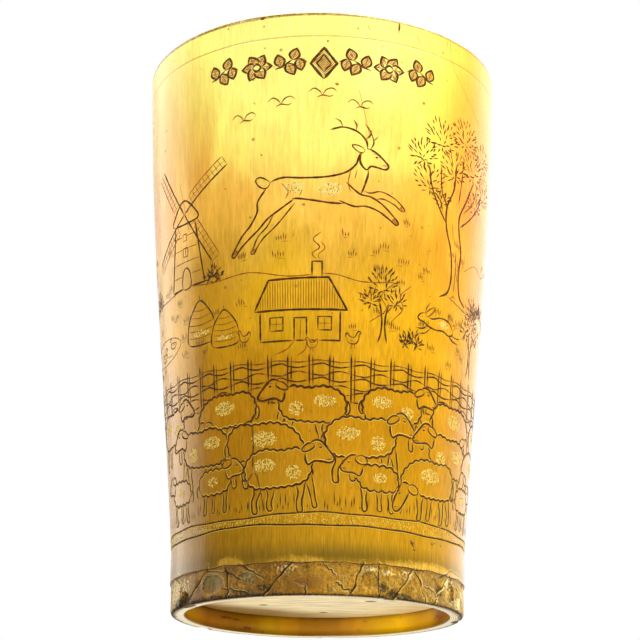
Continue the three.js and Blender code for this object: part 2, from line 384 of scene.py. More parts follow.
def wandering(points, seed):
    """A crack's set points (mm along, mm up) with uneven ones between them."""
    path = []
    for i, (start, end) in enumerate(zip(points[:-1], points[1:])):
        across = np.array([end[1] - start[1], start[0] - end[0]])
        across = across / max(np.hypot(*across), 1e-6)
        for j, share in enumerate((0.0, 0.25, 0.5, 0.75)):
            stray = (scatter(seed + i * 4.3 + j) - 0.5) * 0.5 if j else 0.0
            path.append(start + (end - start) * share + across * stray)
    return np.array(path + [points[-1]])


def distance_to(path, along, up):
    """How far points on the band (mm along, mm up) are from a crack, and on which side."""
    nearest = np.full(along.shape, 99.0)
    side = np.ones(along.shape)
    for (ax, ay), (bx, by) in zip(path[:-1], path[1:]):
        px = short_way(along - ax, ROUND_THE_BAND)
        py = up - ay
        length = max((bx - ax) ** 2 + (by - ay) ** 2, 1e-9)
        share = np.clip((px * (bx - ax) + py * (by - ay)) / length, 0.0, 1.0)
        gap = np.hypot(px - share * (bx - ax), py - share * (by - ay))
        side = np.where(gap < nearest, np.sign(py * (bx - ax) - px * (by - ay)), side)
        nearest = np.minimum(nearest, gap)
    return nearest, side


def crack_paths():
    """The long cracks and the short ones, each as points in mm along and up the band."""
    paths = []
    for top, foot in CRACK_TURNS:
        kink = (scatter(top) - 0.5) * BAND_TALL / 4
        middle = (top + foot) / 2 * DEGREE + kink
        points = [(top * DEGREE, BAND_TALL + 0.2), (middle, BAND_TALL / 2), (foot * DEGREE, -0.5)]
        paths.append((wandering(np.array(points), top), 1.0))
    for row in SHORT_CRACKS:
        points = np.array(row, dtype=float).reshape(-1, 2) * (DEGREE, 1.0)
        paths.append((wandering(points, row[0] + 0.7), 0.6))
    return paths


def scar_reach(along, up, turn, middle, width, rise, ragged):
    """How far inside a ragged scar or chip a point is, in mm; it is negative outside."""
    x = short_way(along - turn * DEGREE, ROUND_THE_BAND)
    y = up - middle
    angle = np.arctan2(y / rise, x / width) % (2 * math.pi)
    corner = angle / (2 * math.pi) * 8
    low = np.floor(corner).astype(int) % 8
    reaches = np.array([0.82 + 0.18 * scatter(turn + i) for i in range(9)])
    reaches[8] = reaches[0]
    reach = reaches[low] + (reaches[low + 1] - reaches[low]) * (corner - np.floor(corner))
    away = np.hypot(x / (width / 2), y / (rise / 2)) / reach + ragged
    return (1.0 - away) * min(width, rise) / 2


def note(piece, name, values):
    """Keeps a number at each point of a mesh for its material to read."""
    kept = piece.data.attributes.new(name, "FLOAT", "POINT")
    kept.data.foreach_set("value", np.asarray(values, dtype=np.float32).ravel())


def flake_foot_band(piece, section, zones):
    """Cuts the band's cracks, scars and chips into the wall and notes where they lie.

    The distance to the nearest crack is kept in half widths of that crack, with a sign for its
    side, and the distance to the nearest scar's edge in mm, so that the material can draw edges
    that are finer than the mesh. Soft patches of tone are kept as amounts from 0 to 1.
    """
    count = len(section)
    turns = np.linspace(0.0, 360.0, SIDES_ROUND, endpoint=False) + 90.0
    round_it = np.radians(turns)
    along = np.repeat(turns * DEGREE, count).reshape(SIDES_ROUND, count)
    up = np.tile(section[:, 1] * 1000, (SIDES_ROUND, 1))

    rough = np.random.default_rng(5)
    ragged = 0.0
    for waves, size in EDGE_WAVES:
        wave = round_it[:, None] * waves + up * (2.0 + waves / 40) + rough.uniform(0, 6.28)
        ragged = ragged + size * np.sin(wave)

    # The cracks, with the plates between them lifted or sunk a little.
    depth, plate = np.zeros((2, *up.shape))
    crack_near, crack_side = np.full((2, *up.shape), 5.0)
    for path, strength in crack_paths():
        gap, side = distance_to(path, along, up)
        uneven = 1.0 + 0.4 * np.sin(up * 1.7 + path[0][0] * 1.3) + ragged
        width = (0.05 + 0.07 * strength) * uneven
        cut = CRACK_DEPTH * strength * np.clip(1 - gap / CRACK_HALF, 0, 1)
        depth = np.maximum(depth, cut)
        crack_side = np.where(gap / width < crack_near, side * gap / width, crack_side)
        crack_near = np.minimum(crack_near, gap / width)
        plate += 0.05 * np.sin(gap * 1.7 + path[0][0])

    # The scars and the chips.
    scar_edge = np.full(up.shape, -1.0)
    for turn, width, rise, layers in SCARS:
        reach = scar_reach(along, up, turn, BAND_TALL / 2, width, rise, ragged)
        depth = np.maximum(depth, layers * LAYER_DEPTH * np.clip(reach / 0.3 + 0.5, 0, 1))
        scar_edge = np.maximum(scar_edge, reach)
    tones = np.zeros((4, *up.shape))
    for turn, width, rise in CHIPS:
        reach = scar_reach(along, up, turn, 0.0, width, 2 * rise, ragged)
        share = np.clip(reach / 0.4 + 0.5, 0, 1)
        depth = np.maximum(depth, CHIP_DEPTH * share)
        tones[DIRT] = np.maximum(tones[DIRT], 0.45 * share)

    # The patches of tone, and the dirt along the foot's edge.
    for turn, high, wide, tall, *amounts in BAND_PATCHES:
        x = short_way(along - turn * DEGREE, ROUND_THE_BAND)
        spot = np.exp(-((x / (wide * DEGREE)) ** 2) * 1.4 - ((up - high) / tall) ** 2 * 1.4)
        spot = np.clip((spot + ragged * 1.5 - 0.18) * 1.6, 0, 1)
        for i, amount in enumerate(amounts):
            tones[i] = np.maximum(tones[i], amount * spot)
    thick = 0.14 + 0.05 * np.sin(round_it * 5 + 1.1)
    for turn, wide, tall in FOOT_DIRT:
        thick = thick + tall * np.exp(-((short_way(turns - turn, 360) / wide) ** 2))
    foot_line = np.clip(1.3 - up / (0.1 + thick[:, None]), 0, 1)
    tones[DIRT] = np.maximum(tones[DIRT], foot_line * (0.66 + ragged))

    # The wavering shoulder and the ledges above it.
    waver = 0.10 * np.sin(round_it * 17) + 0.08 * np.sin(round_it * 31 + 2.0)
    shoulder = up - BAND_TALL - waver[:, None]
    ledge = np.zeros(up.shape)
    for turn, wide, tall, amount in LEDGES:
        away = np.abs(short_way(turns - turn, 360))[:, None] / wide
        top = (tall + 0.5) * np.sqrt(np.clip(1 - away**2, 0, 1)) + ragged * 2 - 0.1
        shown = np.clip((top - shoulder) / 1.3, 0, 1) * (shoulder > -0.1)
        ledge = np.maximum(ledge, amount * shown)

    # The cutting itself, on the band only and shallow outside scars and chips.
    hollow = depth + plate * np.clip(up / 0.7, 0, 1) * np.clip((5.9 - up) / 0.3, 0, 1)
    hollow += 0.03 * (1 + ragged * 8) * np.clip(up / 0.7, 0, 1)
    on_band = (zones == 0) & (section[:, 1] < FLAKED_BAND_HEIGHT - 0.00005)
    reach = np.where(on_band[None, :], np.clip(hollow, 0.0, 1.0), 0.0) / 1000
    reach = np.where(depth > 0.6, reach, np.minimum(reach, DEEPEST_PLATE))
    points = np.empty(SIDES_ROUND * count * 3, dtype=np.float32)
    piece.data.vertices.foreach_get("co", points)
    points = points.reshape(SIDES_ROUND, count, 3)
    radius = np.hypot(points[..., 0], points[..., 1])
    points[..., :2] *= (1.0 - reach / radius)[..., None]
    piece.data.vertices.foreach_set("co", points.ravel())

    # What the material reads, fading out above the band.
    fade = np.where(zones <= 1, 1.0, 0.0)[None, :] * np.clip((8.2 - up) / 0.8, 0, 1)
    for name, tone in zip(TONE_NAMES, tones):
        note(piece, name, np.clip(tone, 0, 1) * fade)
    note(piece, "ledge", ledge * fade)
    note(piece, "crack_side", np.clip(crack_side, -5, 5))
    note(piece, "crack_near", np.where(fade > 0, crack_near, 5.0))
    note(piece, "scar_edge", np.where(fade > 0, scar_edge, -1.0))
    note(piece, "above_shoulder", np.where(fade > 0, np.clip(shoulder, -2, 3), 3.0))
    for zone, name in enumerate(("band", "outside", "rim", "inside", "recess", "ring")):
        note(piece, "zone_" + name, np.tile((zones == zone).astype(float), (SIDES_ROUND, 1)))


wall_section, wall_zones = body_section()
horn_wall = revolve("horn_wall", wall_section, SIDES_ROUND, closed=True)
flake_foot_band(horn_wall, wall_section, wall_zones)
horn_wall.data.update()
horn_wall.data.shade_smooth()

# The wall's colours from its foot to its rim: height, colour. The darker stops just above the foot
# band are painted shade.
HORN_BY_HEIGHT = [
    (0.000, (0.50, 0.26, 0.008)), (0.0062, (0.38, 0.20, 0.007)), (0.0095, (0.50, 0.26, 0.007)),
    (0.014, (0.60, 0.30, 0.006)), (0.028, (0.57, 0.265, 0.003)), (0.037, (0.60, 0.275, 0.003)),
    (0.045, (0.67, 0.335, 0.005)), (0.057, (0.79, 0.415, 0.010)), (0.066, (0.73, 0.400, 0.030)),
    (0.0734, (0.90, 0.515, 0.064)), (0.0815, (0.97, 0.555, 0.088)), (0.090, (1.00, 0.79, 0.160)),
    (0.099, (1.00, 0.93, 0.225)), (0.1150, (1.00, 0.96, 0.260)),
]
# How the horn deepens towards the sides of the cup: share, tint.
SIDE_TINTS = [(0.0, (1.0, 1.0, 1.0)), (0.5, (1.0, 0.90, 0.58)), (1.0, (1.0, 0.67, 0.20))]
# The recess wall under the base, from its left end to its right: x, colour. Its changes from side
# to side are painted light and shade, brightest right of the middle.
RECESS_AMBER_AND_LIGHT_BY_X = [
    (-0.0256, (0.70, 0.30, 0.002)), (-0.0242, (0.62, 0.24, 0.001)),
    (-0.0226, (0.42, 0.13, 0.001)), (-0.0180, (0.44, 0.16, 0.001)),
    (-0.0128, (0.46, 0.18, 0.001)), (-0.0100, (0.62, 0.30, 0.001)),
    (-0.0066, (0.50, 0.20, 0.001)), (-0.0036, (0.38, 0.14, 0.001)),
    (0.0045, (0.44, 0.155, 0.001)), (0.0090, (0.66, 0.27, 0.001)), (0.0128, (0.84, 0.40, 0.001)),
    (0.0172, (1.00, 0.50, 0.001)), (0.0204, (0.80, 0.35, 0.001)), (0.0232, (0.72, 0.31, 0.001)),
    (0.0252, (0.30, 0.09, 0.001)),
]
# Broad lighter and darker patches of painted light and shade on the front: x, z, half width, half
# height, tint.
WALL_LIGHT_AND_SHADE = [
    (-0.0325, 0.094, 0.0095, 0.019, (0.84, 0.68, 0.55)),
    (-0.0085, 0.061, 0.0075, 0.014, (1.16, 1.24, 1.30)),
    (0.0330, 0.098, 0.0075, 0.020, (0.92, 0.66, 0.50)),
]
# The foot band's plates from side to side: dull brown on the left, golden towards the right.
PLATES_BY_X = [
    (-0.0285, (0.46, 0.24, 0.035)), (-0.0243, (0.38, 0.17, 0.010)),
    (-0.0100, (0.38, 0.165, 0.005)), (0.0040, (0.52, 0.26, 0.009)), (0.0130, (0.58, 0.30, 0.009)),
    (0.0185, (0.39, 0.195, 0.006)), (0.0265, (0.44, 0.25, 0.020)),
]
# Patches of tone on the band, by the names they were noted under: name, colour, amount.
BAND_TONES = [
    ("band_grey", (0.22, 0.17, 0.050), 0.85), ("band_brown", (0.25, 0.100, 0.008), 0.78),
    ("band_pale", (0.90, 0.69, 0.29), 0.85),
]
# Old stains in the recess under the base: x, z, half width and half height, in metres.
RECESS_STAINS = [
    (-0.0190, 0.0027, 0.0014, 0.0004), (-0.0168, 0.0025, 0.0007, 0.0003),
    (-0.0147, 0.0010, 0.0011, 0.0004), (0.0252, 0.0020, 0.0012, 0.0016),
]
# Colours of what lies in or on the horn, and of painted light and shade on it.
LEFT_SIDE_SHADE = (0.49, 0.42, 0.05)
SHADOW_OVER_BAND = (0.115, 0.085, 0.012)
RIM_LINE_BROWN = (0.55, 0.24, 0.03)
RIM_WEAR = (0.20, 0.075, 0.008)
SPECK = (0.30, 0.10, 0.012)
SCRATCH = (0.50, 0.24, 0.03)
LEDGE_LEFT, LEDGE_RIGHT = (0.56, 0.32, 0.022), (0.74, 0.44, 0.050)
NET_HIGHLIGHT_LEFT, NET_HIGHLIGHT_RIGHT = (0.62, 0.40, 0.07), (0.94, 0.70, 0.22)
PALE_EDGE_AND_HIGHLIGHT = (0.86, 0.62, 0.17)
DARK_LINE_AND_SHADOW = (0.050, 0.020, 0.005)
SOIL = (0.026, 0.015, 0.006)
INSIDE = (0.60, 0.385, 0.12)
RECESS_TINT = (0.89, 1.0, 0.3)
RECESS_BLOT, RECESS_STAIN = (0.12, 0.030, 0.002), (0.16, 0.035, 0.006)
RING_FAR, RING_NEAR, RING_LAYER = (0.88, 0.76, 0.47), (0.84, 0.64, 0.34), (0.22, 0.13, 0.04)
LAYERS_PER_METRE = 14000.0
# What is read from the mesh by name, besides the band's other tones.
NOTED = (
    "band_dirt", "crack_side", "crack_near", "scar_edge", "above_shoulder", "ledge", "zone_band",
    "zone_inside", "zone_recess", "zone_ring",
)
WARM_SHINE = (1.0, 0.84, 0.55)
HORN_INDEX = 1.52
COAT = 0.12
GLOW_DEPTH = 0.0015


def paint(under, colour, share=1.0, kind="MIX"):
    """One colour laid over another by a share."""
    known = next(value for value in (share, under, colour) if isinstance(value, Reading))
    node = add(known.socket.id_data, "ShaderNodeMix", data_type="RGBA", blend_type=kind)
    wire((share, node.inputs[0]), (under, node.inputs[6]), (colour, node.inputs[7]))
    return Reading(node.outputs[2])


def tint(under, colour, share=1.0):
    """A colour multiplied by another."""
    return paint(under, colour, share, "MULTIPLY")


def spot_on_object(tree):
    """The place on the object that is being coloured, and its x, y and z."""
    place = add(tree, "ShaderNodeTexCoord").outputs["Object"]
    return place, *map(Reading, add(tree, "ShaderNodeSeparateXYZ", Vector=place).outputs)


def surface(name):
    """A new material, its shader, the place on the object, and x, y and z of that place."""
    material = bpy.data.materials.new(name)
    material.use_nodes = True
    tree = material.node_tree
    return material, tree.nodes["Principled BSDF"], *spot_on_object(tree)


def attribute(tree, name):
    """A number noted at each point of the mesh."""
    return Reading(add(tree, "ShaderNodeAttribute", attribute_name=name).outputs["Fac"])


def stretched_noise(place, scale, detail=3.0, lean=(0.0, 0.0, 0.0), warp=0.0):
    """Noise over the object, stretched by a scale along each axis."""
    tree = place.id_data
    stretch = add(tree, "ShaderNodeMapping", Vector=place, Scale=scale, Rotation=lean)
    grain = add(tree, "ShaderNodeTexNoise", Vector=stretch, Scale=1.0, Detail=detail,
                Distortion=warp)
    return Reading(grain.outputs[0])


def colours_along(share, stops):
    """A colour that changes from the first stop to the last as a share goes from 0 to 1."""
    node = add(share.socket.id_data, "ShaderNodeValToRGB", Fac=share)
    ramp = node.color_ramp
    ramp.elements.remove(ramp.elements[1])
    start, reach = stops[0][0], stops[-1][0] - stops[0][0]
    ramp.elements[0].position = 0.0
    ramp.elements[0].color = (*stops[0][1], 1.0)
    for level, colour in stops[1:]:
        ramp.elements.new((level - start) / reach).color = (*colour, 1.0)
    return Reading(node.outputs["Color"])


def colours_by_x(x, stops):
    """A colour that changes from side to side, with its stops given in metres."""
    return colours_along(x.span(stops[0][0], stops[-1][0]), stops)


def from_spot(across, upward, spot):
    """Squared distance from a spot, counted in its own half sizes: 1 at its edge."""
    middle_across, middle_up, half_across, half_up = spot
    across = (across - middle_across) / half_across
    upward = (upward - middle_up) / half_up
    return upward * upward + across * across


def off_axis(x, y):
    """Distance from the cup's axis."""
    return (y * y + x * x).math("SQRT")


def horn_pattern_group():
    """What old horn shows everywhere: fibres, streaks, clouds, grit, specks and scratches."""
    tree = bpy.data.node_groups.new("horn_pattern", "ShaderNodeTree")
    place, x, _, z = spot_on_object(tree)
    fine = stretched_noise(place, (4200.0, 4200.0, 330.0), 4.0)
    broad = stretched_noise(place, (1500.0, 1500.0, 75.0), 3.0, lean=(0.05, 0.03, 0.0))
    grit = stretched_noise(place, (2100.0, 2100.0, 2100.0), 4.0)
    clouds = stretched_noise(place, (75.0, 75.0, 48.0), 5.0, warp=0.6)
    scratch = stretched_noise(place, (2600.0, 2600.0, 170.0), 2.0, lean=(0.24, 0.16, 0.0))
    spots = []
    for size, keep, radius in ((210.0, 0.30, 0.10), (520.0, 0.22, 0.13)):
        cells = add(tree, "ShaderNodeTexVoronoi", Vector=place, Scale=size)
        chance = add(tree, "ShaderNodeSeparateColor", Color=cells.outputs["Color"])
        near = Reading(cells.outputs["Distance"]).span(radius * 0.35, radius, 1.0, 0.0)
        spots.append(near * Reading(chance.outputs[0]).math("LESS_THAN", keep))
    patterns = {
        "Fibres": fine.span(0.30, 0.70),
        "Streaks": broad.span(0.30, 0.70),
        "Clouds": clouds.span(0.32, 0.68),
        "Grit": grit.span(0.32, 0.68),
        "Specks": spots[0].most(spots[1]),
        "Scratches": scratch.span(0.69, 0.73),
        "Height": z / HEIGHT,
        "Sides": abs(x).span(0.012, 0.030),
    }
    for name in patterns:
        tree.interface.new_socket(name, in_out="OUTPUT", socket_type="NodeSocketFloat")
    out = add(tree, "NodeGroupOutput")
    wire(*((pattern, out.inputs[name]) for name, pattern in patterns.items()))
    return tree


def polished_colour(at):
    """The polished outside and the rim: lemon above and amber lower down."""
    # Amber rises and falls in clouds where it meets the lemon part.
    drift = at.streaks * 0.02 + (at.clouds * 0.085 - 0.045)
    drift = drift * at.height.span(0.12, 0.30) * at.height.span(0.90, 0.97, 1.0, 0.0)
    colour = colours_along(at.height + drift, HORN_BY_HEIGHT)
    warm = at.sides * at.height.span(0.36, 0.60, 0.15, 1.0)
    warm = warm * at.height.span(0.86, 0.97, 1.0, 0.8) * at.x.span(-0.015, 0.015, 0.25, 1.0)
    colour = tint(colour, colours_along(warm, SIDE_TINTS))
    front = at.y.span(-0.006, 0.006, 1.0, 0.0)
    # Patches of painted light and shade, on the front only.
    for *spot, cloud in WALL_LIGHT_AND_SHADE:
        share = from_spot(at.x, at.z, spot).span(0.2, 1.7, 1.0, 0.0) * front
        colour = tint(colour, cloud, share)
    colour = tint(colour, at.shade)

    # One side of the horn is painted darker, most of all low down: painted shade on the side away
    # from the light.
    left_shade = (at.height.span(0.12, 0.35, 0.28, 0.0) + 0.60) * at.height.span(0.56, 0.80, 1.0, 0.0)
    left_shade = left_shade * at.x.span(-0.024, -0.004, 1.0, 0.0) * at.x.span(-0.0280, -0.0235, 0.15, 1.0)
    colour = tint(colour, LEFT_SIDE_SHADE, left_shade)

    # A painted grey-green shadow lies just above the foot band, strongest on the left.
    low = at.height.span(0.053, 0.062) * at.height.span(0.066, 0.088, 1.0, 0.0)
    low = low * at.clouds.span(0.1, 0.75, 0.5, 1.0) * abs(at.x).span(0.010, 0.024, 0.62, 0.25)
    colour = paint(colour, SHADOW_OVER_BAND, low)

    # The line turned under the rim holds a little brown.
    line = abs(at.z - (HEIGHT - RIM_LINE_DROP)).span(0.00006, 0.00018, 0.75, 0.0)
    colour = paint(colour, RIM_LINE_BROWN, line * at.clouds.span(0.0, 0.8, 0.55, 1.0))

    # The rim's rounding is worn brown, more on the left.
    worn = at.z.span(HEIGHT - 0.00120, HEIGHT - 0.00088)
    worn = worn.math("SUBTRACT", at.zone_inside, clamp=True)
    worn = worn * at.z.span(HEIGHT - 0.00045, HEIGHT - 0.0002, 1.0, 0.4)
    worn = worn * at.x.span(-0.012, 0.008, 0.95, 0.8) * at.grit.span(0.15, 0.5, 0.6, 1.0)
    colour = paint(colour, RIM_WEAR, worn)

    # Specks of brown and fine slanting scratches.
    colour = paint(colour, SPECK, at.specks * 0.75)
    return paint(colour, SCRATCH, at.scratches * 0.30)


def band_colour(at, colour):
    """The foot band and the ledges above it, with painted highlights on its edges, and where the
    band has dark lines and a painted shadow line.
    """
    # A smooth ledge of pale gold horn stands just above the band in places, and along the whole
    # shoulder a thin pale strip is a painted highlight on its edge.
    ledge = (at.clouds - 0.5) * 0.35 + ((at.grit - 0.5) * 0.45 + at.ledge)
    ledge = ledge.span(0.10, 0.95, 0.0, 0.9) * at.ledge.span(0.0, 0.12)
    thin = at.above_shoulder.span(0.10, 0.30, 1.0, 0.0) * at.clouds.span(0.35, 0.65, 0.0, 0.6)
    ledge = ledge.most(thin) * at.above_shoulder.span(0.02, 0.10)
    to_right = at.x.span(-0.014, 0.016)
    gold = paint(LEDGE_LEFT, LEDGE_RIGHT, to_right)
    colour = paint(colour, tint(gold, at.fibre_shade), ledge)

    # The band's plates, with fibres and grit, and a net of painted highlights along the plates'
    # edges, darker just beyond them.
    mottle = at.clouds.span(0.2, 0.8, 0.80, 1.15) * at.grit.span(0.1, 0.9, 0.58, 1.38)
    mottle = mottle * at.fibres.span(0.0, 1.0, 0.68, 1.22)
    band = tint(tint(colours_by_x(at.x, PLATES_BY_X), mottle), at.streak_shade)
    tree = at.place.id_data
    bend = add(tree, "ShaderNodeTexNoise", Vector=at.place, Scale=900.0, Detail=2.0)
    bent = add(tree, "ShaderNodeVectorMath", operation="MULTIPLY_ADD")
    wire(*zip((bend.outputs["Color"], (0.0016, 0.0016, 0.0016), at.place), bent.inputs))
    plates = add(tree, "ShaderNodeTexVoronoi", feature="DISTANCE_TO_EDGE", Vector=bent,
                 Scale=430.0)
    plate_edge = Reading(plates.outputs["Distance"])
    some = stretched_noise(at.place, (260.0, 260.0, 260.0), 2.0).span(0.42, 0.60)
    bright = paint(NET_HIGHLIGHT_LEFT, NET_HIGHLIGHT_RIGHT, to_right)
    band = paint(band, bright, plate_edge.span(0.012, 0.050, 0.6, 0.0) * some)
    band = tint(band, plate_edge.span(0.05, 0.11, 0.72, 1.0), some)
    colour = paint(colour, band, at.zone_band)
    for name, tone, amount in BAND_TONES:
        patch = attribute(tree, name)
        share = ((at.grit - 0.5) * 1.1 + patch).span(0.22, 0.72) * amount
        colour = paint(colour, tint(tone, at.fibre_shade), share * patch.span(0.0, 0.15))

    # Its cracks are dark with a painted highlight on one lip, its scars have a brown edge in a pale
    # one, and a thin painted shadow runs under the shoulder.
    ragged = at.grit - 0.5
    side = ragged * 0.9 + at.crack_side
    lip = side.span(1.0, 1.5) * side.span(2.4, 3.4, 1.0, 0.0)
    lip = lip * at.clouds.span(0.35, 0.60, 0.25, 0.8)
    edge = ragged * 0.16 + at.scar_edge
    pale_edge = edge.span(-0.28, -0.20) * edge.span(-0.12, -0.05, 1.0, 0.0) * some
    colour = paint(colour, PALE_EDGE_AND_HIGHLIGHT, lip.most(pale_edge * 0.35))
    crack = abs(side).span(0.85, 1.25, 1.0, 0.0) * at.crack_near.span(1.9, 2.6, 1.0, 0.0)
    brown_edge = abs(edge).span(0.03, 0.09, 0.75, 0.0)
    under = abs(ragged * 0.14 + at.above_shoulder).span(0.05, 0.13, 0.9, 0.0)
    dark_lines_and_shadow = crack.most(brown_edge.most(under))
    return paint(colour, DARK_LINE_AND_SHADOW, dark_lines_and_shadow * 0.95), dark_lines_and_shadow


def recess_colour(at):
    """The recess wall under the base: amber with painted light and shade across it, stained, and
    painted darker at both its edges.
    """
    blots = stretched_noise(at.place, (150.0, 150.0, 420.0), 4.0, warp=1.0)
    recess = colours_by_x(at.x, RECESS_AMBER_AND_LIGHT_BY_X)
    recess = paint(recess, RECESS_BLOT, blots.span(0.64, 0.72, 0.0, 0.7))
    recess = tint(recess, at.clouds.span(0.2, 0.8, 0.78, 1.12))
    recess = tint(recess, RECESS_TINT)
    # Painted shade where the recess wall meets the ring below and the base above.
    edges = at.z.span(0.0003, 0.0014, 0.45, 1.0) * at.z.span(0.0031, 0.0039, 1.0, 0.6)
    recess = tint(recess, edges)
    for spot in RECESS_STAINS:
        stain = (at.grit * 1.1 + from_spot(at.x, at.z, spot)).span(0.7, 1.5, 0.9, 0.0)
        recess = paint(recess, RECESS_STAIN, stain)
    return recess


def ring_colour(at):
    """The ring that the cup stands on: sawn across, so its layers show as fine circles."""
    layers = (off_axis(at.x, at.y) * LAYERS_PER_METRE).math("SINE").span(0.0, 0.9)
    layers = layers * at.clouds.span(0.1, 0.6, 0.3, 1.0) * at.x.span(-0.010, 0.022, 0.35, 0.85)
    ring = paint(RING_FAR, RING_NEAR, at.y.span(-0.026, -0.012, 1.0, 0.0))
    return paint(ring, RING_LAYER, layers)


def horn_material():
    """Polished horn, with its foot band grey, brown and dirty."""
    material, shader, place, x, y, z = surface("polished_horn")
    tree = material.node_tree
    at = SimpleNamespace(place=place, x=x, y=y, z=z)
    for pattern in add(tree, "ShaderNodeGroup", node_tree=horn_pattern_group()).outputs:
        setattr(at, pattern.name.lower(), Reading(pattern))
    for name in NOTED:
        setattr(at, name, attribute(tree, name))
    at.streak_shade = at.streaks.span(0.0, 1.0, 0.93, 1.06)
    at.fibre_shade = (at.fibres - 0.55) * at.height.span(0.12, 0.75, 0.42, 0.14) + 1.0
    at.shade = at.streak_shade * at.fibre_shade * at.clouds.span(0.0, 1.0, 0.93, 1.06)

    colour, dark_lines_and_shadow = band_colour(at, polished_colour(at))
    colour = paint(colour, tint(INSIDE, at.shade), at.zone_inside)
    colour = paint(colour, recess_colour(at), at.zone_recess)
    colour = paint(colour, ring_colour(at), at.zone_ring)
    soil = ((at.grit - 0.5) * 0.85 + at.band_dirt).span(0.34, 0.58) * at.band_dirt.span(0.0, 0.2)
    soil = soil * at.fibres.span(0.2, 0.7, 0.98, 0.80)
    colour = paint(colour, SOIL, soil)

    # Polish, dulled on the foot band, in the dirt, in the dark lines and the painted shadow line,
    # and inside.
    dirt = soil.most(dark_lines_and_shadow)
    dull = at.zone_band.most(at.zone_inside).most(dirt.most(at.zone_ring))
    rough = at.scratches * 0.12 + (dull * 0.22 + at.fibres.span(0.0, 1.0, 0.16, 0.27))
    relief = at.scratches * -0.25 + (at.streaks * 0.6 + at.fibres * 0.4)
    relief = (dirt * -0.6 + at.grit) * at.zone_band * 2.6 + relief
    bump = add(tree, "ShaderNodeBump", Strength=0.35, Distance=0.00006, Height=relief)
    set_up(
        shader, Base_Color=colour, Roughness=rough, Normal=bump, IOR=HORN_INDEX,
        Specular_Tint=WARM_SHINE, Coat_Roughness=0.06,
        Coat_Weight=dull.math("MULTIPLY_ADD", -COAT, COAT, clamp=True),
        Subsurface_Weight=0.4, Subsurface_Radius=(1.0, 0.7, 0.25), Subsurface_Scale=GLOW_DEPTH,
    )
    return material


horn_wall.data.materials.append(horn_material())
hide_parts(WALL_NODE)
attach(horn_wall, "root")


# The engraving: a country scene cut freehand into the polished wall, the cuts rubbed with dark
# pigment and some patches stippled pale. It is drawn flat, in millimetres along the wall from
# the front and up it, and laid on the wall by geometry nodes.
UNROLLED_RADIUS = 0.033
ROUND_THE_WALL = 2 * math.pi * UNROLLED_RADIUS * 1000
DRAWING_START = -52
HURDLES = 25
HURDLE_SIZE = 1.0114

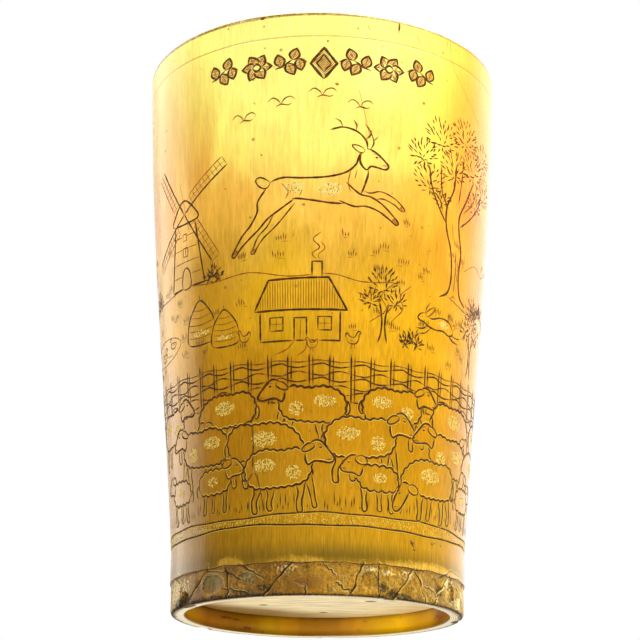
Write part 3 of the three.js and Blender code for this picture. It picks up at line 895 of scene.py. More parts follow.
# Each motif has its width and rows, drawn facing right from its foot's left corner. A row is a
# kind, a half width, and points x y. Shapes, boxes, fleeces and limbs hide what lies behind
# them; a limb is open where it joins the body. A patch is stippled with pale dots, leaves and
# hatch are filled with small cuts, and petals and sails go round a middle.
MOTIFS = {
    "ewe": (18.7, """
    shape .14 4.9 5.9 5.6 3.4 5.3 1.7 5.6 .5 6.5 .6 6.3 1.9 6.8 3.4 7 6
    shape .14 12.7 6.8 13.8 4.1 14.3 2.4 14.7 .9 15.5 1.1 15.1 2.6 14.8 4.5 14.2 6.8
    shape .17 11 6.6 11.7 3.7 11.4 1.9 11.6 .2 12.6 .2 12.5 1.9 12.9 3.8 13.1 6.8
    shape .17 2 6.6 2.7 3.9 2.1 2.2 2.3 .2 3.3 .2 3.2 2.1 4 3.8 4.9 6
    fleece .22 1.4 6 .9 8.2 2.2 10.2 5 11.2 8.4 10.9 11.2 11.3 13.2 10.9 14.2 9.2 14 7.2 12.6 5.6
      9.4 4.9 5.6 4.7 3 4.8
    shape .22 13.1 10.6 14 12.3 15.3 12.9 16.4 12.5 17.6 11.2 18.6 10 18.7 9.3 17.8 8.9 16.6 9.1 15
      9.2 13.6 8.6
    shape .16 14.7 12.3 13.6 12.3 12.5 11.4 12.7 10.8 13.9 11 14.9 11.7
    line .19 15.8 11.6 16.4 11.5
    line .09 15.5 12.1 16.2 12.2 16.8 11.7
    line .12 18.2 10 18.5 9.7
    line .11 18.5 9.4 17.7 9.5 17.1 9.3
    line .16 1.2 9 .3 8.4 0 7 .6 6 1.2 6.6
    patch 5 8.6 2.3 1.2
    patch 10.8 7.2 1.5 1.3
    """),
    "grazer": (18.0, """
    shape .14 8.8 6 9 3 8.8 .6 9.7 .5 10 3 10.4 6
    shape .14 15.2 6.6 15.1 4 15.7 2.4 15.6 .6 16.5 .5 16.6 2.5 16.3 4.2 16.6 6.6
    shape .17 6.2 6.2 6.1 3.2 6.4 1.7 6.2 .2 7.2 .2 7.4 1.7 7.5 3.4 8 6
    shape .17 12.8 6.1 12.6 3.7 13.2 2.1 13 .2 13.9 .2 14.2 2.1 14.1 3.8 14.7 6.2
    fleece .2 2.3 5.2 2.1 7 3.1 8.9 5.2 10.4 8 11 11.6 10.8 14.6 11 16.6 9.8 17.2 7.6 16 5.4 12.6
      4.8 8.4 4.7 6.2 5.2 4.6 5.2 3.6 4.6
    shape .2 2.1 6.3 1.1 4.7 .3 3 .1 1.8 .8 1.1 1.8 1.5 2.9 2.9 3.8 4.5 4 5.8 3.3 6.5
    shape .14 3.6 5.9 4.9 6.3 6.1 5.6 6.2 4.8 5 4.5 3.9 5.1
    line .18 1.5 4.3 1.9 4.5
    line .09 1.2 4.7 1.7 5
    line .11 .5 1.9 1.3 2
    line .16 17.1 8.8 18 7.7 18 6.2 17.4 5.4 17 6.4
    patch 9.6 8.4 2.7 1.4
    """),
    "lamb": (11.3, """
    shape .12 3.6 4.6 3.9 2 3.7 .3 4.4 .3 4.6 2 5 4.6
    shape .14 1.3 5 1.8 2.4 1.4 .2 2.2 .2 2.5 2.2 3.2 4.8
    shape .14 6.4 4.9 6.7 2.2 6.5 .2 7.3 .2 7.4 2.3 7.9 5
    fleece .18 1 4 .8 5.6 2 6.8 4.4 7.1 6.8 7 8 6.2 8 4.6 6.6 3.6 4 3.4 2 3.5
    shape .18 7.4 6.8 8 8.2 9.2 8.7 10.3 8.1 11.3 6.9 11.2 6.2 10.3 5.9 9 5.8 7.9 5.4
    shape .13 8.6 8.4 7.4 8.6 6.6 7.8 7 7.3 7.9 7.3 8.7 7.8
    line .15 9.7 7.5 10.1 7.5
    line .1 11 6.5 10.3 6.5
    line .14 .9 5.4 -.2 4.6 -.1 3.2 .4 3.4
    patch 4.2 5.3 1.3 .8
    """),
    "stag": (31.0, """
    limb .14 24.4 12.4 27 11 29.6 11.4 32.4 10.2 34.2 8.6 34.9 7.6 34 7.4 32.4 8.7 29.8 9.8 27 9.2
      24.6 9.2
    limb .14 9.2 10.4 7 7.8 5.3 5.3 3.1 3.4 1.8 1.2 1.1 .1 1.8 -.1 2.9 1.4 4.4 3 6.6 4.6 8.8 6.6
      11.6 9.6
    shape .2 26 19.9 24.7 17.4 22.4 15.6 18.4 14.8 13.6 15 9.8 15.6 7 15 5.4 13 5 10.6 7.2 9.6 11
      10.6 14.8 9.9 19 8.9 22.6 8.8 25 10.4 26.4 13.2 27.2 16.2
    limb .18 22.4 13.4 25 10.8 27.4 10.1 29.8 8.5 31.8 6.4 33.2 4.7 32.5 4.2 31 5.4 28.8 7 26.2 8
      23.6 8 20.6 9.4
    limb .18 5.9 13.8 3.8 11.2 3.4 8.8 1.6 6.2 -.6 4.2 -2.4 1.9 -3.4 .5 -2.7 .1 -1.2 1.6 .9 3.2 3.4
      5 5.6 7 8 8.4 11.4 10.4
    shape .2 27.2 20.9 28.6 20.5 30 19.3 31.4 17.7 31.6 16.9 30.8 16.4 29.2 16.8 27.8 17 26.8 16.2
      25.7 17.7 25.9 19.6
    shape .14 26.8 20.6 25.8 21.6 24.3 21.8 24.8 20.8 26 20
    line .19 27.4 20.9 27.2 22.8 25.6 24.8 22.8 25.9 20 25.4
    line .15 27.1 23 28.2 24.1 28.6 25.4
    line .15 25.3 25 25.5 26.4 24.9 27.6
    line .15 22.6 25.9 22.3 27.2 21.2 28
    line .13 27.9 20.7 28.8 22.4 28.3 24.8 27.2 26.8
    line .12 28.7 22.7 29.8 23.8
    line .18 28.9 19.1 29.5 19
    line .09 28.4 19.7 29 19.9 29.8 19.4
    line .12 31.3 17.2 30.2 17.4
    line .12 31.4 17.9 31.1 17.6
    shape .15 6.8 15 5 16.5 3.8 16.1 4.4 14.6 5.8 13.8
    line .1 23.6 16 22.8 13.4 23.2 11.2
    line .1 24.9 16.2 24.2 14
    line .11 9.2 14.4 10.4 12.4 9.8 10.8
    line .09 12.6 11 13.4 12.4
    line .13 32.5 5.8 31.6 4.9
    hatch .1 40 .24 32.5 5.8 33.2 4.7 32.5 4.2 31.6 4.9
    line .12 34.3 8.5 33.5 7.7
    hatch .1 40 .24 34.3 8.5 34.9 7.6 34 7.4 33.5 7.7
    line .13 -2.6 1.6 -1.7 1.1
    hatch .1 120 .24 -2.6 1.6 -3.4 .5 -2.7 .1 -1.7 1.1
    line .12 1.5 .9 2.5 .8
    hatch .1 120 .24 1.5 .9 1.1 .1 1.8 -.1 2.5 .8
    patch 11.6 13 2.3 1.2
    patch 19 12 2.4 1.7
    """),
    "hare": (10.0, """
    shape .16 .6 3.4 2.2 4.9 4.8 5.2 7.2 4.5 8.4 4.6 9.2 5.3 10.4 5.1 11.3 4.2 10.8 3.6 9.6 3.4 8.6
      2.8 6.4 2.4 4 2.6 2.2 2.1 .9 2.4
    shape .12 9.3 5.1 8.2 6.3 6.8 7 7.2 5.9 8.6 4.7
    line .13 9.4 5.2 9 6.6 8 7.8
    line .15 8.4 2.9 10 2 11.7 1.9
    line .14 7.6 2.5 9.2 1.2 10.8 .8
    line .16 2.2 2.2 .4 1.3 -1.7 1.1
    line .14 1.2 2.5 -.6 2.2 -2.5 2.4
    line .12 .6 3.6 -.3 4.2 .1 4.9 1 4.2
    line .14 10 4.5 10.3 4.5
    patch 3.8 3.9 1.6 .8
    """),
    "goose": (6.5, """
    line .13 0 1.2 1.2 2.2 2.4 1.6 3.2 .4
    line .13 3.2 .4 4 1.8 5.4 2.3 6.5 1.4
    line .15 2 -.2 3.2 .4 4.8 .1 5.6 .5
    """),
    "duck": (5.2, """
    shape .14 .2 1.4 1.4 .4 3.2 .4 4.2 1.2 3.9 2 2.6 1.9 1.2 1.8
    line .13 3.4 1.8 3.3 3 4.1 3.5 4.7 3 4.2 2.5 3.9 1.7
    line .1 4.6 3 5.3 2.8
    line .09 1.2 1.5 2.4 1.1 3.1 1.5
    """),
    "hen": (4.4, """
    shape .14 .3 2.4 1.1 1.4 2.6 1.3 3.4 2.3 3.6 3.7 4 4.2 3.5 4.6 3 4.1 2.4 3 1.2 3.1 .4 4 0 3.4
    line .1 1.7 1.4 1.6 .2 1.1 0
    line .1 2.4 1.4 2.5 .2 3 0
    line .09 4 4.2 4.4 4
    line .09 1.3 2.2 2.2 1.8
    """),
    "mill": (27.6, """
    box .19 8.3 0 10.6 14 17 14 19.3 0
    shape .19 10 13.8 10.5 16 13.8 18.6 17.1 16 17.6 13.8
    line .09 8.9 2.7 18.7 2.7
    line .09 9.4 5.5 18.2 5.5
    line .09 9.9 8.3 17.7 8.3
    line .09 10.3 11 17.3 11
    shape .15 12.4 0 12.5 3 13.7 4.2 14.9 3 15 0
    box .12 12.9 6.6 12.9 8.4 14.5 8.4 14.5 6.6
    line .08 13.7 6.6 13.7 8.4
    box .1 13.1 10 13.1 11.4 14.3 11.4 14.3 10
    sails .17 13.8 15.6 14.2 33
    """),
    "cottage": (18.2, """
    box .17 1.2 0 1.2 6.6 16.9 6.6 16.9 0
    box .15 11.4 12 11.4 15.4 13.3 15.4 13.3 12
    box .2 0 6 3 12 14.6 12.3 18.2 6
    hatch .07 90 .5 .4 6.1 3.1 11.9 14.5 12.2 17.8 6.1
    box .15 8 0 8 4.4 10.4 4.4 10.4 0
    line .08 9.2 0 9.2 4.2
    box .13 3.2 2 3.2 4.6 5.8 4.6 5.8 2
    line .08 4.5 2 4.5 4.6
    line .08 3.2 3.3 5.8 3.3
    box .13 12.6 2 12.6 4.6 15.2 4.6 15.2 2
    line .08 13.9 2 13.9 4.6
    line .08 12.6 3.3 15.2 3.3
    line .11 12.2 15.8 11.4 17 12.8 18.2 11.6 19.8 13 21.2
    line .09 12.8 15.8 12.6 16.8 13.8 18 13 19.4
    line .1 8 -.1 6.6 -1.6 4.2 -2.6
    line .1 10.4 -.1 10.2 -1.7 8.6 -3
    """),
    "oak": (23.0, """
    line .19 6.4 -.8 8.4 .4 9.2 2.6 9.2 5.4 8.6 8.6 7.3 11.8 7.2 15.6 8.8 19.4 9.2 24
    line .19 14.2 -.9 12.2 .5 11.5 2.8 11.5 5.6 11.7 8.6 10.9 11.6 10.7 14.8 12.6 18.4 14.6 22.4
    line .15 7.3 12.4 5 15.4 3.4 18.6 2.8 22
    line .14 7.5 15.4 5.8 18.2 5.4 22.6
    line .15 11 13 14.2 15.6 17 18.6 18.6 22
    line .13 12 16 15 19 16.4 23
    line .13 10.2 17 10.8 21 11.2 26
    line .1 10.2 1 10.4 4.6 10.2 8.6
    line .09 9.7 6.2 10.2 6.8 9.7 7.6
    line .09 10.9 3 11 5.4
    line .09 9.3 10 8.8 13
    line .1 9.4 -.4 10.2 .2 11 -.3
    leaves 3 19.6 3.4 3
    leaves 1.4 24.2 3 2.8
    leaves 5.4 28.2 3.8 3.2
    leaves 8.6 23.4 3.6 3.2
    leaves 11.6 30.4 4 3
    leaves 14.4 25.4 3.8 3.2
    leaves 18.2 28.6 3.6 3
    leaves 20 22.8 3.4 3
    leaves 15.8 19 2.8 2.2
    leaves 5.8 16.6 2.2 1.7
    """),
    "sapling": (6.8, """
    line .15 2.6 -.3 3.1 1.4 3.2 3.8 2.7 6.8
    line .15 4.3 -.3 3.9 1.4 3.8 3.6 4.4 6.6
    line .1 3.2 4 1.8 6.2
    line .1 3.8 4.4 5.2 6.4
    leaves 3.4 10.2 2.8 2.8
    leaves 1.2 7.2 2 1.7
    leaves 5.8 7.4 2 1.7
    """),
    "bush": (6.0, """
    leaves 1.6 1.4 1.8 1.5
    leaves 3.2 2.6 2 1.7
    leaves 4.7 1.3 1.7 1.4
    """),
    "rick": (9.2, """
    shape .17 .4 0 .2 4.6 2.2 8 4.6 9.9 7 8 9 4.6 8.8 0
    line .09 .4 1.6 4.6 1.1 8.8 1.6
    line .09 .3 3.2 4.6 2.7 8.9 3.2
    line .11 .2 4.7 4.6 4.1 9 4.7
    line .09 1.2 6.3 4.6 5.8 8 6.3
    line .09 2.2 7.9 4.6 7.5 7 7.9
    line .13 4.6 9.8 4.4 11.4
    patch 4.6 2.2 2.8 .7
    """),
    "church": (25.0, """
    box .17 7 0 7 9 24 9 24 0
    box .17 6.4 9 8.8 13.6 22.8 13.6 25 9
    hatch .06 0 .8 8.2 9.2 9.2 13.4 22.6 13.4 24.6 9.2
    box .18 0 0 0 16 7.4 16 7.4 0
    box .17 0 16 3.7 27 7.4 16
    hatch .06 90 .8 .8 16.2 3.7 26.4 6.6 16.2
    line .12 3.7 27 3.7 29.6
    line .11 2.8 28.6 4.6 28.6
    shape .14 2.5 0 2.5 3.6 3.7 5 4.9 3.6 4.9 0
    shape .13 2.7 9 2.7 11.4 3.7 12.6 4.7 11.4 4.7 9
    shape .13 9.4 2.4 9.4 5.4 10.6 6.8 11.8 5.4 11.8 2.4
    shape .13 14.2 2.4 14.2 5.4 15.4 6.8 16.6 5.4 16.6 2.4
    shape .13 19 2.4 19 5.4 20.2 6.8 21.4 5.4 21.4 2.4
    """),
    "hurdle": (8.2, """
    line .17 .3 -.4 .2 9.2
    line .13 1 -.3 .9 8.8
    line .17 4.2 -.3 4.2 9
    line .13 4.9 -.3 4.9 8.7
    line .13 0 .2 1.2 0 2.8 -.1 4.2 .2 6 .5 8.2 .2
    line .15 0 1.4 1.2 1.7 2.8 1.9 4.2 1.4 6 1.1 8.2 1.4
    line .13 0 2.7 1.6 2.4 3.2 2.3 4.6 2.8 6.4 3.1 8.2 2.7
    line .15 0 4.1 1.4 4.4 3 4.6 4.3 4.1 6.2 3.8 8.2 4.1
    line .13 0 5.4 1.6 5.1 3.2 5 4.6 5.5 6.4 5.8 8.2 5.4
    line .15 0 6.8 1.4 7.1 3 7.3 4.3 6.8 6.2 6.5 8.2 6.8
    line .11 0 7.7 2 7.9 4.4 7.7 6.4 7.5 8.2 7.7
    """),
    "rose": (6.6, """
    petals .21 3.3 3.3 2.9 1.05
    shape .22 2.5 3.3 3.3 4.1 4.1 3.3 3.3 2.5
    """),
    "sprig": (6.0, """
    line .2 0 2.4 1.6 3 3.2 4.2 4.6 4.4 6 3.6
    leaf .2 1.2 2.9 2.7 .95 105
    leaf .2 3.3 4.2 2.6 .95 72
    leaf .2 2.3 3.5 2.8 .95 -62
    leaf .2 4.4 4.4 2.6 .9 -78
    """),
    "lozenge": (5.4, """
    box .26 2.7 -.1 .3 3.3 2.7 6.7 5.1 3.3
    box .16 2.7 1.4 1.4 3.3 2.7 5.2 4 3.3
    hatch .1 45 .3 2.7 .2 .6 3.3 2.7 6.4 4.8 3.3
    """),
}

# What stands where, far to near: name, along, height, size, facing (1 right, -1 left), lean.
PLACES = [
    ("bush", 36, 58, 0.9, 1, 0), ("bush", 41, 60, 0.7, 1, 0), ("mill", -43.2, 62, 0.97, 1, 0),
    ("oak", 18.2, 60.5, 1.14, 1, 0), ("stag", -14.5, 65.4, 0.9, 1, 5),
    ("bush", -47.5, 61, 1.0, 1, 0), ("bush", -24.5, 61.4, 0.75, 1, 0),
    ("cottage", -13, 47.8, 1.0, 1, 0), ("rick", -30, 50, 0.85, 1, 0),
    ("rick", -23, 48.4, 0.7, 1, 0), ("sapling", 8.5, 48.4, 1.15, 1, 0), ("bush", 16, 48, 0.9, 1, 0),
    ("hare", 21.5, 50.5, 0.95, -1, 0), ("hen", -17, 47.4, 0.7, -1, 0), ("hen", 5, 46.4, 0.75, 1, 0),
    ("hen", -3, 45.6, 0.6, -1, 0), ("sapling", 34, 46.5, 1.25, 1, 0),
    ("duck", -44, 49.6, 0.8, 1, 0), ("duck", -38.5, 51, 0.7, -1, 0), ("goose", -10, 95, 0.8, 1, 0),
    ("goose", -2.5, 96.6, 0.8, 1, 0), ("goose", 4.5, 94.6, 0.75, 1, 0),
    ("goose", -17, 92.6, 0.75, 1, 0), ("church", 62, 60.5, 1.0, 1, 0), ("oak", 92, 60, 1.1, 1, 0),
    ("stag", 121, 66, 0.9, -1, -5), ("sapling", 55, 59, 1.1, 1, 0), ("bush", 87, 60, 1.0, 1, 0),
    ("sapling", 150, 60, 1.3, 1, 0), ("cottage", 104, 46.6, 0.95, -1, 0),
    ("rick", 92, 47.4, 0.9, 1, 0), ("hare", 73, 49, 1.0, 1, 0), ("sapling", 60, 46.4, 1.0, 1, 0),
    ("bush", 87, 46.6, 0.9, 1, 0), ("rick", 131, 47.4, 0.85, 1, 0), ("rick", 139, 46.8, 0.7, 1, 0),
    ("hen", 100, 46.2, 0.7, 1, 0), ("hen", 124, 46.4, 0.7, -1, 0), ("goose", 74, 95, 0.8, -1, 0),
    ("goose", 82, 93.4, 0.75, -1, 0), ("goose", 125, 96, 0.75, -1, 0),
    ("sapling", 151, 46.4, 1.1, 1, 0), ("goose", 133, 94.4, 0.8, -1, 0),
]
PLACES += [
    ("hurdle", DRAWING_START + ROUND_THE_WALL / HURDLES * i, 36, HURDLE_SIZE, 1, 0)
    for i in range(HURDLES)
]
PLACES += [
    ("ewe", -47, 27.6, 0.95, 1, 0), ("grazer", -29.5, 28, 0.95, 1, 0),
    ("ewe", -12.5, 27.6, 1.0, -1, 0), ("ewe", 8, 28, 1.0, 1, 0), ("grazer", 25, 27.5, 1.0, -1, 0),
    ("ewe", 42, 27.5, 0.95, 1, 0), ("ewe", -38.5, 20.8, 1.05, -1, 0),
    ("grazer", -20.5, 20.2, 1.08, -1, 0), ("ewe", 0.5, 20.8, 1.1, 1, 0),
    ("ewe", 20.5, 20.2, 1.08, -1, 0), ("grazer", 36.5, 20.4, 1.05, 1, 0),
    ("lamb", -29, 16.2, 1.15, 1, 0), ("ewe", -16.5, 15.2, 1.05, 1, 0),
    ("lamb", 4.5, 15.8, 1.2, -1, 0), ("grazer", 16, 15.2, 1.05, 1, 0),
    ("lamb", 35.5, 15.6, 1.15, 1, 0), ("lamb", -44, 15.8, 1.15, -1, 0),
]
FLOCK = ("ewe", "grazer", "ewe", "lamb", "grazer", "ewe")
FLOCK_ROWS = ((27.6, 0.97, 17.5), (20.6, 1.06, 18.5), (15.6, 1.08, 20.0))
for row, (height, size, step) in enumerate(FLOCK_ROWS):
    for i, along in enumerate(np.arange(57.0 - 3 * row, 141.0, step)):
        name = FLOCK[(i * 2 + row * 3) % 6]
        PLACES.append((name, along, height, size, 1 if (i + row) % 3 else -1, 0))
GARLAND = ("sprig", "rose", "sprig", "lozenge", "sprig", "rose", "sprig")
GARLAND_AT = ((-21.6, 1), (-15.3, 1), (-8.6, 1), (-2.4, 1), (2.9, -1), (9.0, -1), (15.8, -1))
for half_round in (0.0, ROUND_THE_WALL / 2):
    PLACES += [
        (name, along + half_round, 100.4, 0.98, facing, 0)
        for name, (along, facing) in zip(GARLAND, GARLAND_AT)
    ]

# Thin lines of the land behind: half width, then points along and up.
LAND_LINES = """
    .1 -52 60.5 -46 61.6 -38 61.4 -30 62 -22 61.2 -14 61.8 -6 60.4 2 60.8 8 59.6 15 60.2
    .1 28 60.2 36 58.6 44 60.2 52 59.8
    .08 33 66.8 38 69.4 43 68.6 48 71.4 54 71
    .09 -52 50.6 -46 49.4 -41 48.9 -36 49.6 -33 51.4 -35 53 -40 53.8 -46 53.6 -52 52.4
    .08 -45 51.7 -42 51.4
    .08 -40 50.2 -37 50
    .09 15 60.4 12 57.4 13 54.6 9.6 51.8
    .09 18.4 60.2 16 57.8 16.6 55.2 14.2 52.4
    .09 52 59.8 62 60.4 74 60.6 86 59.8 96 59.4 108 60.4 120 59.2 132 60.2 144 59.8 155.3 60.5
    .08 112 74 118 77 126 75.6 136 78.4 146 76.8 152 78
"""


# How figures and ground are filled, in mm.
STIPPLE_PITCH = 0.235
SPECK_PITCH = 0.50
STRIP_DOTS = 2400
TUFTS = 170
GRASS_STEP = 0.62
DOWN_THE_BACK = 155
# The ground strip's two lines: height, swing, and where its waver starts.
STRIP_TOP = (14.9, 0.28, 1.0)
STRIP_FOOT = (12.9, 0.22, 2.6)


def ground_line(height, swing, seed):
    """A wavering line round the whole cup: points along and up."""
    along = np.arange(DRAWING_START, DRAWING_START + 0.1 + ROUND_THE_WALL, 0.5)
    turn = along / UNROLLED_RADIUS / 1000
    waver = np.sin(3 * turn + seed) + 0.6 * np.sin(7 * turn + 2 * seed)
    waver = waver + 0.25 * np.sin(19 * turn + seed)
    return np.column_stack([along, height + swing * waver])


def even(points, spacing=0.36):
    """The same line with its points at even steps."""
    steps = np.hypot(*np.diff(points, axis=0).T)
    run = np.concatenate([[0.0], np.cumsum(steps)])
    at = np.linspace(0.0, run[-1], max(4, int(run[-1] / spacing) + 1))
    return np.stack([np.interp(at, run, points[:, i]) for i in (0, 1)], axis=1)


def flowing(points, closed=False):
    """Evenly spaced points of a smooth line through a few set ones."""
    points = np.asarray(points, dtype=float)
    if closed:
        ring = np.vstack([points[-1], points, points[:2]])
    else:
        ring = np.vstack([2 * points[0] - points[1], points, 2 * points[-1] - points[-2]])
    share = np.linspace(0.0, 1.0, 12, endpoint=False)[:, None]
    fine = [
        0.5 * (2 * b + (c - a) * share + (2 * a - 5 * b + 4 * c - d) * share**2
               + (3 * b - a - 3 * c + d) * share**3)
        for a, b, c, d in zip(ring[:-3], ring[1:-2], ring[2:-1], ring[3:])
    ]
    return even(np.vstack([*fine, ring[-2:-1]]))


def cornered(points):
    """Evenly spaced points of a closed outline of straight sides."""
    points = np.asarray(points, dtype=float)
    sides = zip(points, np.roll(points, -1, axis=0))
    return np.vstack([even(np.array(side))[:-1] for side in sides] + [points[:1]])


def scalloped(outline, depth=0.34, length=1.5):
    """A closed outline bulged into small curls."""
    steps = np.hypot(*np.diff(outline, axis=0).T)
    run = np.concatenate([[0.0], np.cumsum(steps)])
    curls = max(4, round(run[-1] / length))
    bulge = depth * np.abs(np.sin(math.pi * run / run[-1] * curls))
    way = np.gradient(outline, axis=0)
    way /= np.maximum(np.hypot(*way.T), 1e-9)[:, None]
    x, y = outline.T
    outward = -1 if np.sum(x[:-1] * y[1:] - x[1:] * y[:-1]) > 0 else 1
    return outline + outward * np.stack([-way[:, 1], way[:, 0]], axis=1) * bulge[:, None]


def oval(x, y, wide, tall):
    """Points round an upright oval."""
    at = np.linspace(0.0, 2 * math.pi, 24, endpoint=False)
    return np.stack([x + wide * np.cos(at), y + tall * np.sin(at)], axis=1)


def ray(degrees):
    """Unit steps along a direction and across it."""
    t = math.radians(degrees)
    return np.array([math.cos(t), math.sin(t)]), np.array([-math.sin(t), math.cos(t)])


def leaf(width, x, y, length, half, degrees):
    """A pointed leaf with a midrib and veins, growing from a point."""
    along, across = ray(degrees)
    root = np.array([x, y])
    share = np.linspace(0.0, 1.0, 13)[:, None]
    bulge = half * np.sin(math.pi * share**0.85)
    upper = root + along * length * share + across * bulge
    lower = root + along * length * share - across * bulge
    outline = np.vstack([upper, lower[::-1][1:]])
    return [
        ("shape", width, outline),
        ("line", 0.09, even(root + along * length * np.array([[0.1], [0.9]]))),
        ("hatch", (0.1, degrees + 50, 0.3), outline),
    ]


def petals(width, x, y, length, half):
    """Six leaves round a middle."""
    return sum((leaf(width, x, y, length, half, turn) for turn in range(0, 360, 60)), [])


def sails(width, x, y, reach, degrees):
    """Four latticed sails on their shaft."""
    parts = []
    hub = np.array([x, y])
    for quarter in range(4):
        along, across = ray(degrees + 90 * quarter)
        near, far = hub + along * reach * 0.24, hub + along * reach
        parts.append(("line", width, even(np.array([hub, far]))))
        parts.append(("line", 0.1, even(np.array([near, far]) + across * 2.3)))
        parts.append(("line", 0.06, even(np.array([near, far]) + across * 1.15)))
        for step in np.linspace(0.0, 1.0, 10)[:, None]:
            bar = near + (far - near) * step
            parts.append(("line", 0.07, even(np.vstack([bar, bar + across * 2.3]))))
    return parts


def inside(points, outline):
    """Which points lie inside a closed outline."""
    x, y = points[:, 0][:, None], points[:, 1][:, None]
    ax, ay = outline.T
    bx, by = np.roll(ax, -1), np.roll(ay, -1)
    crossed = (ay > y) != (by > y)
    rise = np.where(by == ay, 1e-9, by - ay)
    return (np.sum(crossed & (x < (bx - ax) * (y - ay) / rise + ax), axis=1) % 2) == 1


def motif_rows(text):
    """A motif's rows, each a kind and its numbers."""
    rows = []
    for word in text.split():
        if word[0].isalpha():
            rows.append((word, []))
        else:
            rows[-1][1].append(float(word))
    return rows


def motif_parts(text):
    """The lines, covering shapes and filled patches of a motif."""
    parts = []
    built = {"leaf": leaf, "petals": petals, "sails": sails}
    for kind, numbers in motif_rows(text):
        if kind in built:
            parts += built[kind](*numbers)
        elif kind in ("patch", "leaves"):
            parts.append((kind, None, oval(*numbers)))
        elif kind == "hatch":
            parts.append((kind, tuple(numbers[:3]), np.array(numbers[3:]).reshape(-1, 2)))
        else:
            points = np.array(numbers[1:]).reshape(-1, 2)
            if kind == "box":
                points = cornered(points)
            else:
                points = flowing(points, closed=kind in ("shape", "fleece"))
            if kind == "fleece":
                points = scalloped(points)
            parts.append((kind if kind in ("line", "limb") else "shape", numbers[0], points))
    return parts


def set_down(points, place, motif_width):
    """Points of a motif moved to its place on the flattened wall."""
    _, along, height, size, facing, lean = place
    points = points * (facing, 1.0) + (0.0 if facing > 0 else motif_width, 0.0)
    forward, upward = ray(lean)
    return points[:, :1] * size * forward + points[:, 1:] * size * upward + (along, height)


def near_each_other(a, b):
    """Whether the boxes round two sets of points touch."""
    return bool(np.all(a.min(axis=0) <= b.max(axis=0)) and np.all(b.min(axis=0) <= a.max(axis=0)))


def in_the_open(spot, outlines):
    """Whether a single point lies in none of the outlines."""
    return not any(near_each_other(spot, p) and inside(spot, p)[0] for p in outlines)


def shown_runs(points, covers):
    """The stretches of a line that no nearer shape covers."""
    shown = np.ones(len(points), dtype=bool)
    for cover in covers:
        shown &= ~inside(points, cover)
    ends = np.flatnonzero(np.diff(np.concatenate([[0], shown.astype(int), [0]])))
    return [points[a:b] for a, b in zip(ends[::2], ends[1::2]) if b - a >= 3]


def hatching(outline, width, degrees, gap):
    """Straight parallel cuts that fill an outline."""
    along, across = ray(degrees)
    middle = outline.mean(axis=0)
    reach = np.hypot(*(outline - middle).T).max()
    steps = np.linspace(-reach, reach, int(2 * reach / 0.15))[:, None]
    cuts = []
    for offset in np.arange(-reach, reach, gap):
        run = middle + across * offset + along * steps
        kept = run[inside(run, outline)]
        if len(kept) >= 3:
            cuts.append((width, even(kept[[0, -1]], 0.8)))
    return cuts


def scattered(outline, pitch, hand):
    """Points at random inside an outline, on average one to a square of the pitch."""
    low, high = outline.min(axis=0), outline.max(axis=0)
    points = hand.uniform(low, high, (max(1, int(np.prod(high - low) / pitch**2)), 2))
    return points[inside(points, outline)]


def foliage(outline, hand):
    """Short cuts that fan out over a clump of leaves: along, up, half length, width, angle."""
    low, high = outline.min(axis=0), outline.max(axis=0)
    middle, reach = (low + high) / 2, (high - low) / 2
    cuts = []
    for ring, count in ((0.28, 5), (0.58, 11), (0.86, 17)):
        count = max(4, int(count * reach.mean() / 3.2))
        for turn in (np.arange(count) + hand.uniform(-0.3, 0.3, count)) * 2 * math.pi / count:
            at = middle + reach * ring * (math.cos(turn), math.sin(turn))
            at = at + hand.normal(0.0, 0.18, 2)
            away = at - (middle - (0.0, reach[1] * 0.55))
            angle = math.atan2(away[1], away[0]) + hand.normal(0.0, 0.16)
            cuts.append((*at, hand.uniform(0.5, 0.95), hand.uniform(0.13, 0.21), angle))
    return np.array(cuts)


def tuft(along, up, hand):
    """A tuft of grass: a few upright cuts and one along the ground."""
    count = hand.integers(3, 6)
    steps = (np.arange(count) - count / 2) * hand.uniform(0.35, 0.55)
    length = hand.uniform(0.45, 0.95, count)
    lean = 1.57 - steps * 0.12 + hand.normal(0, 0.08, count)
    cuts = np.column_stack([along + steps, up + length, length, np.full(count, 0.12), lean])
    beside, length = hand.uniform(-1, 1), hand.uniform(0.6, 1.4)
    flat = (along + beside, up - 0.15, length, 0.07, hand.normal(0, 0.05))
    return np.vstack([cuts, flat])


def strip_between(lower, upper, hand):
    """Dots at random over the ground strip between its two lines."""
    between = hand.uniform((0.0, 0.12), (1.0, 0.88), (STRIP_DOTS, 2))
    at = (between[:, 0] * (len(upper) - 1)).astype(int)
    along = upper[at, 0] + hand.uniform(0, 0.5, len(at))
    up = lower[at, 1] + (upper[at, 1] - lower[at, 1]) * between[:, 1]
    return np.column_stack([along, up])


def grass_cuts(outlines, hand):
    """Tufts over the far ground, and single blades along the near ground's edge."""
    cuts = []
    for _ in range(TUFTS):
        spot = np.array([[hand.uniform(DRAWING_START, DOWN_THE_BACK), hand.uniform(45.5, 73)]])
        if in_the_open(spot, outlines):
            cuts.append(tuft(*spot[0], hand))
    for along in np.arange(DRAWING_START, DOWN_THE_BACK, GRASS_STEP):
        up = 15.3 + hand.uniform(0, 0.9)
        spot = np.array([[along + hand.uniform(-0.2, 0.2), up + 1.0]])
        if hand.random() < 0.66 and in_the_open(spot, outlines):
            length = hand.uniform(0.4, 1.6)
            blade = (spot[0][0], up + length, length, 0.145, 1.57 + hand.normal(0, 0.06))
            cuts.append(np.array([blade]))
    return cuts


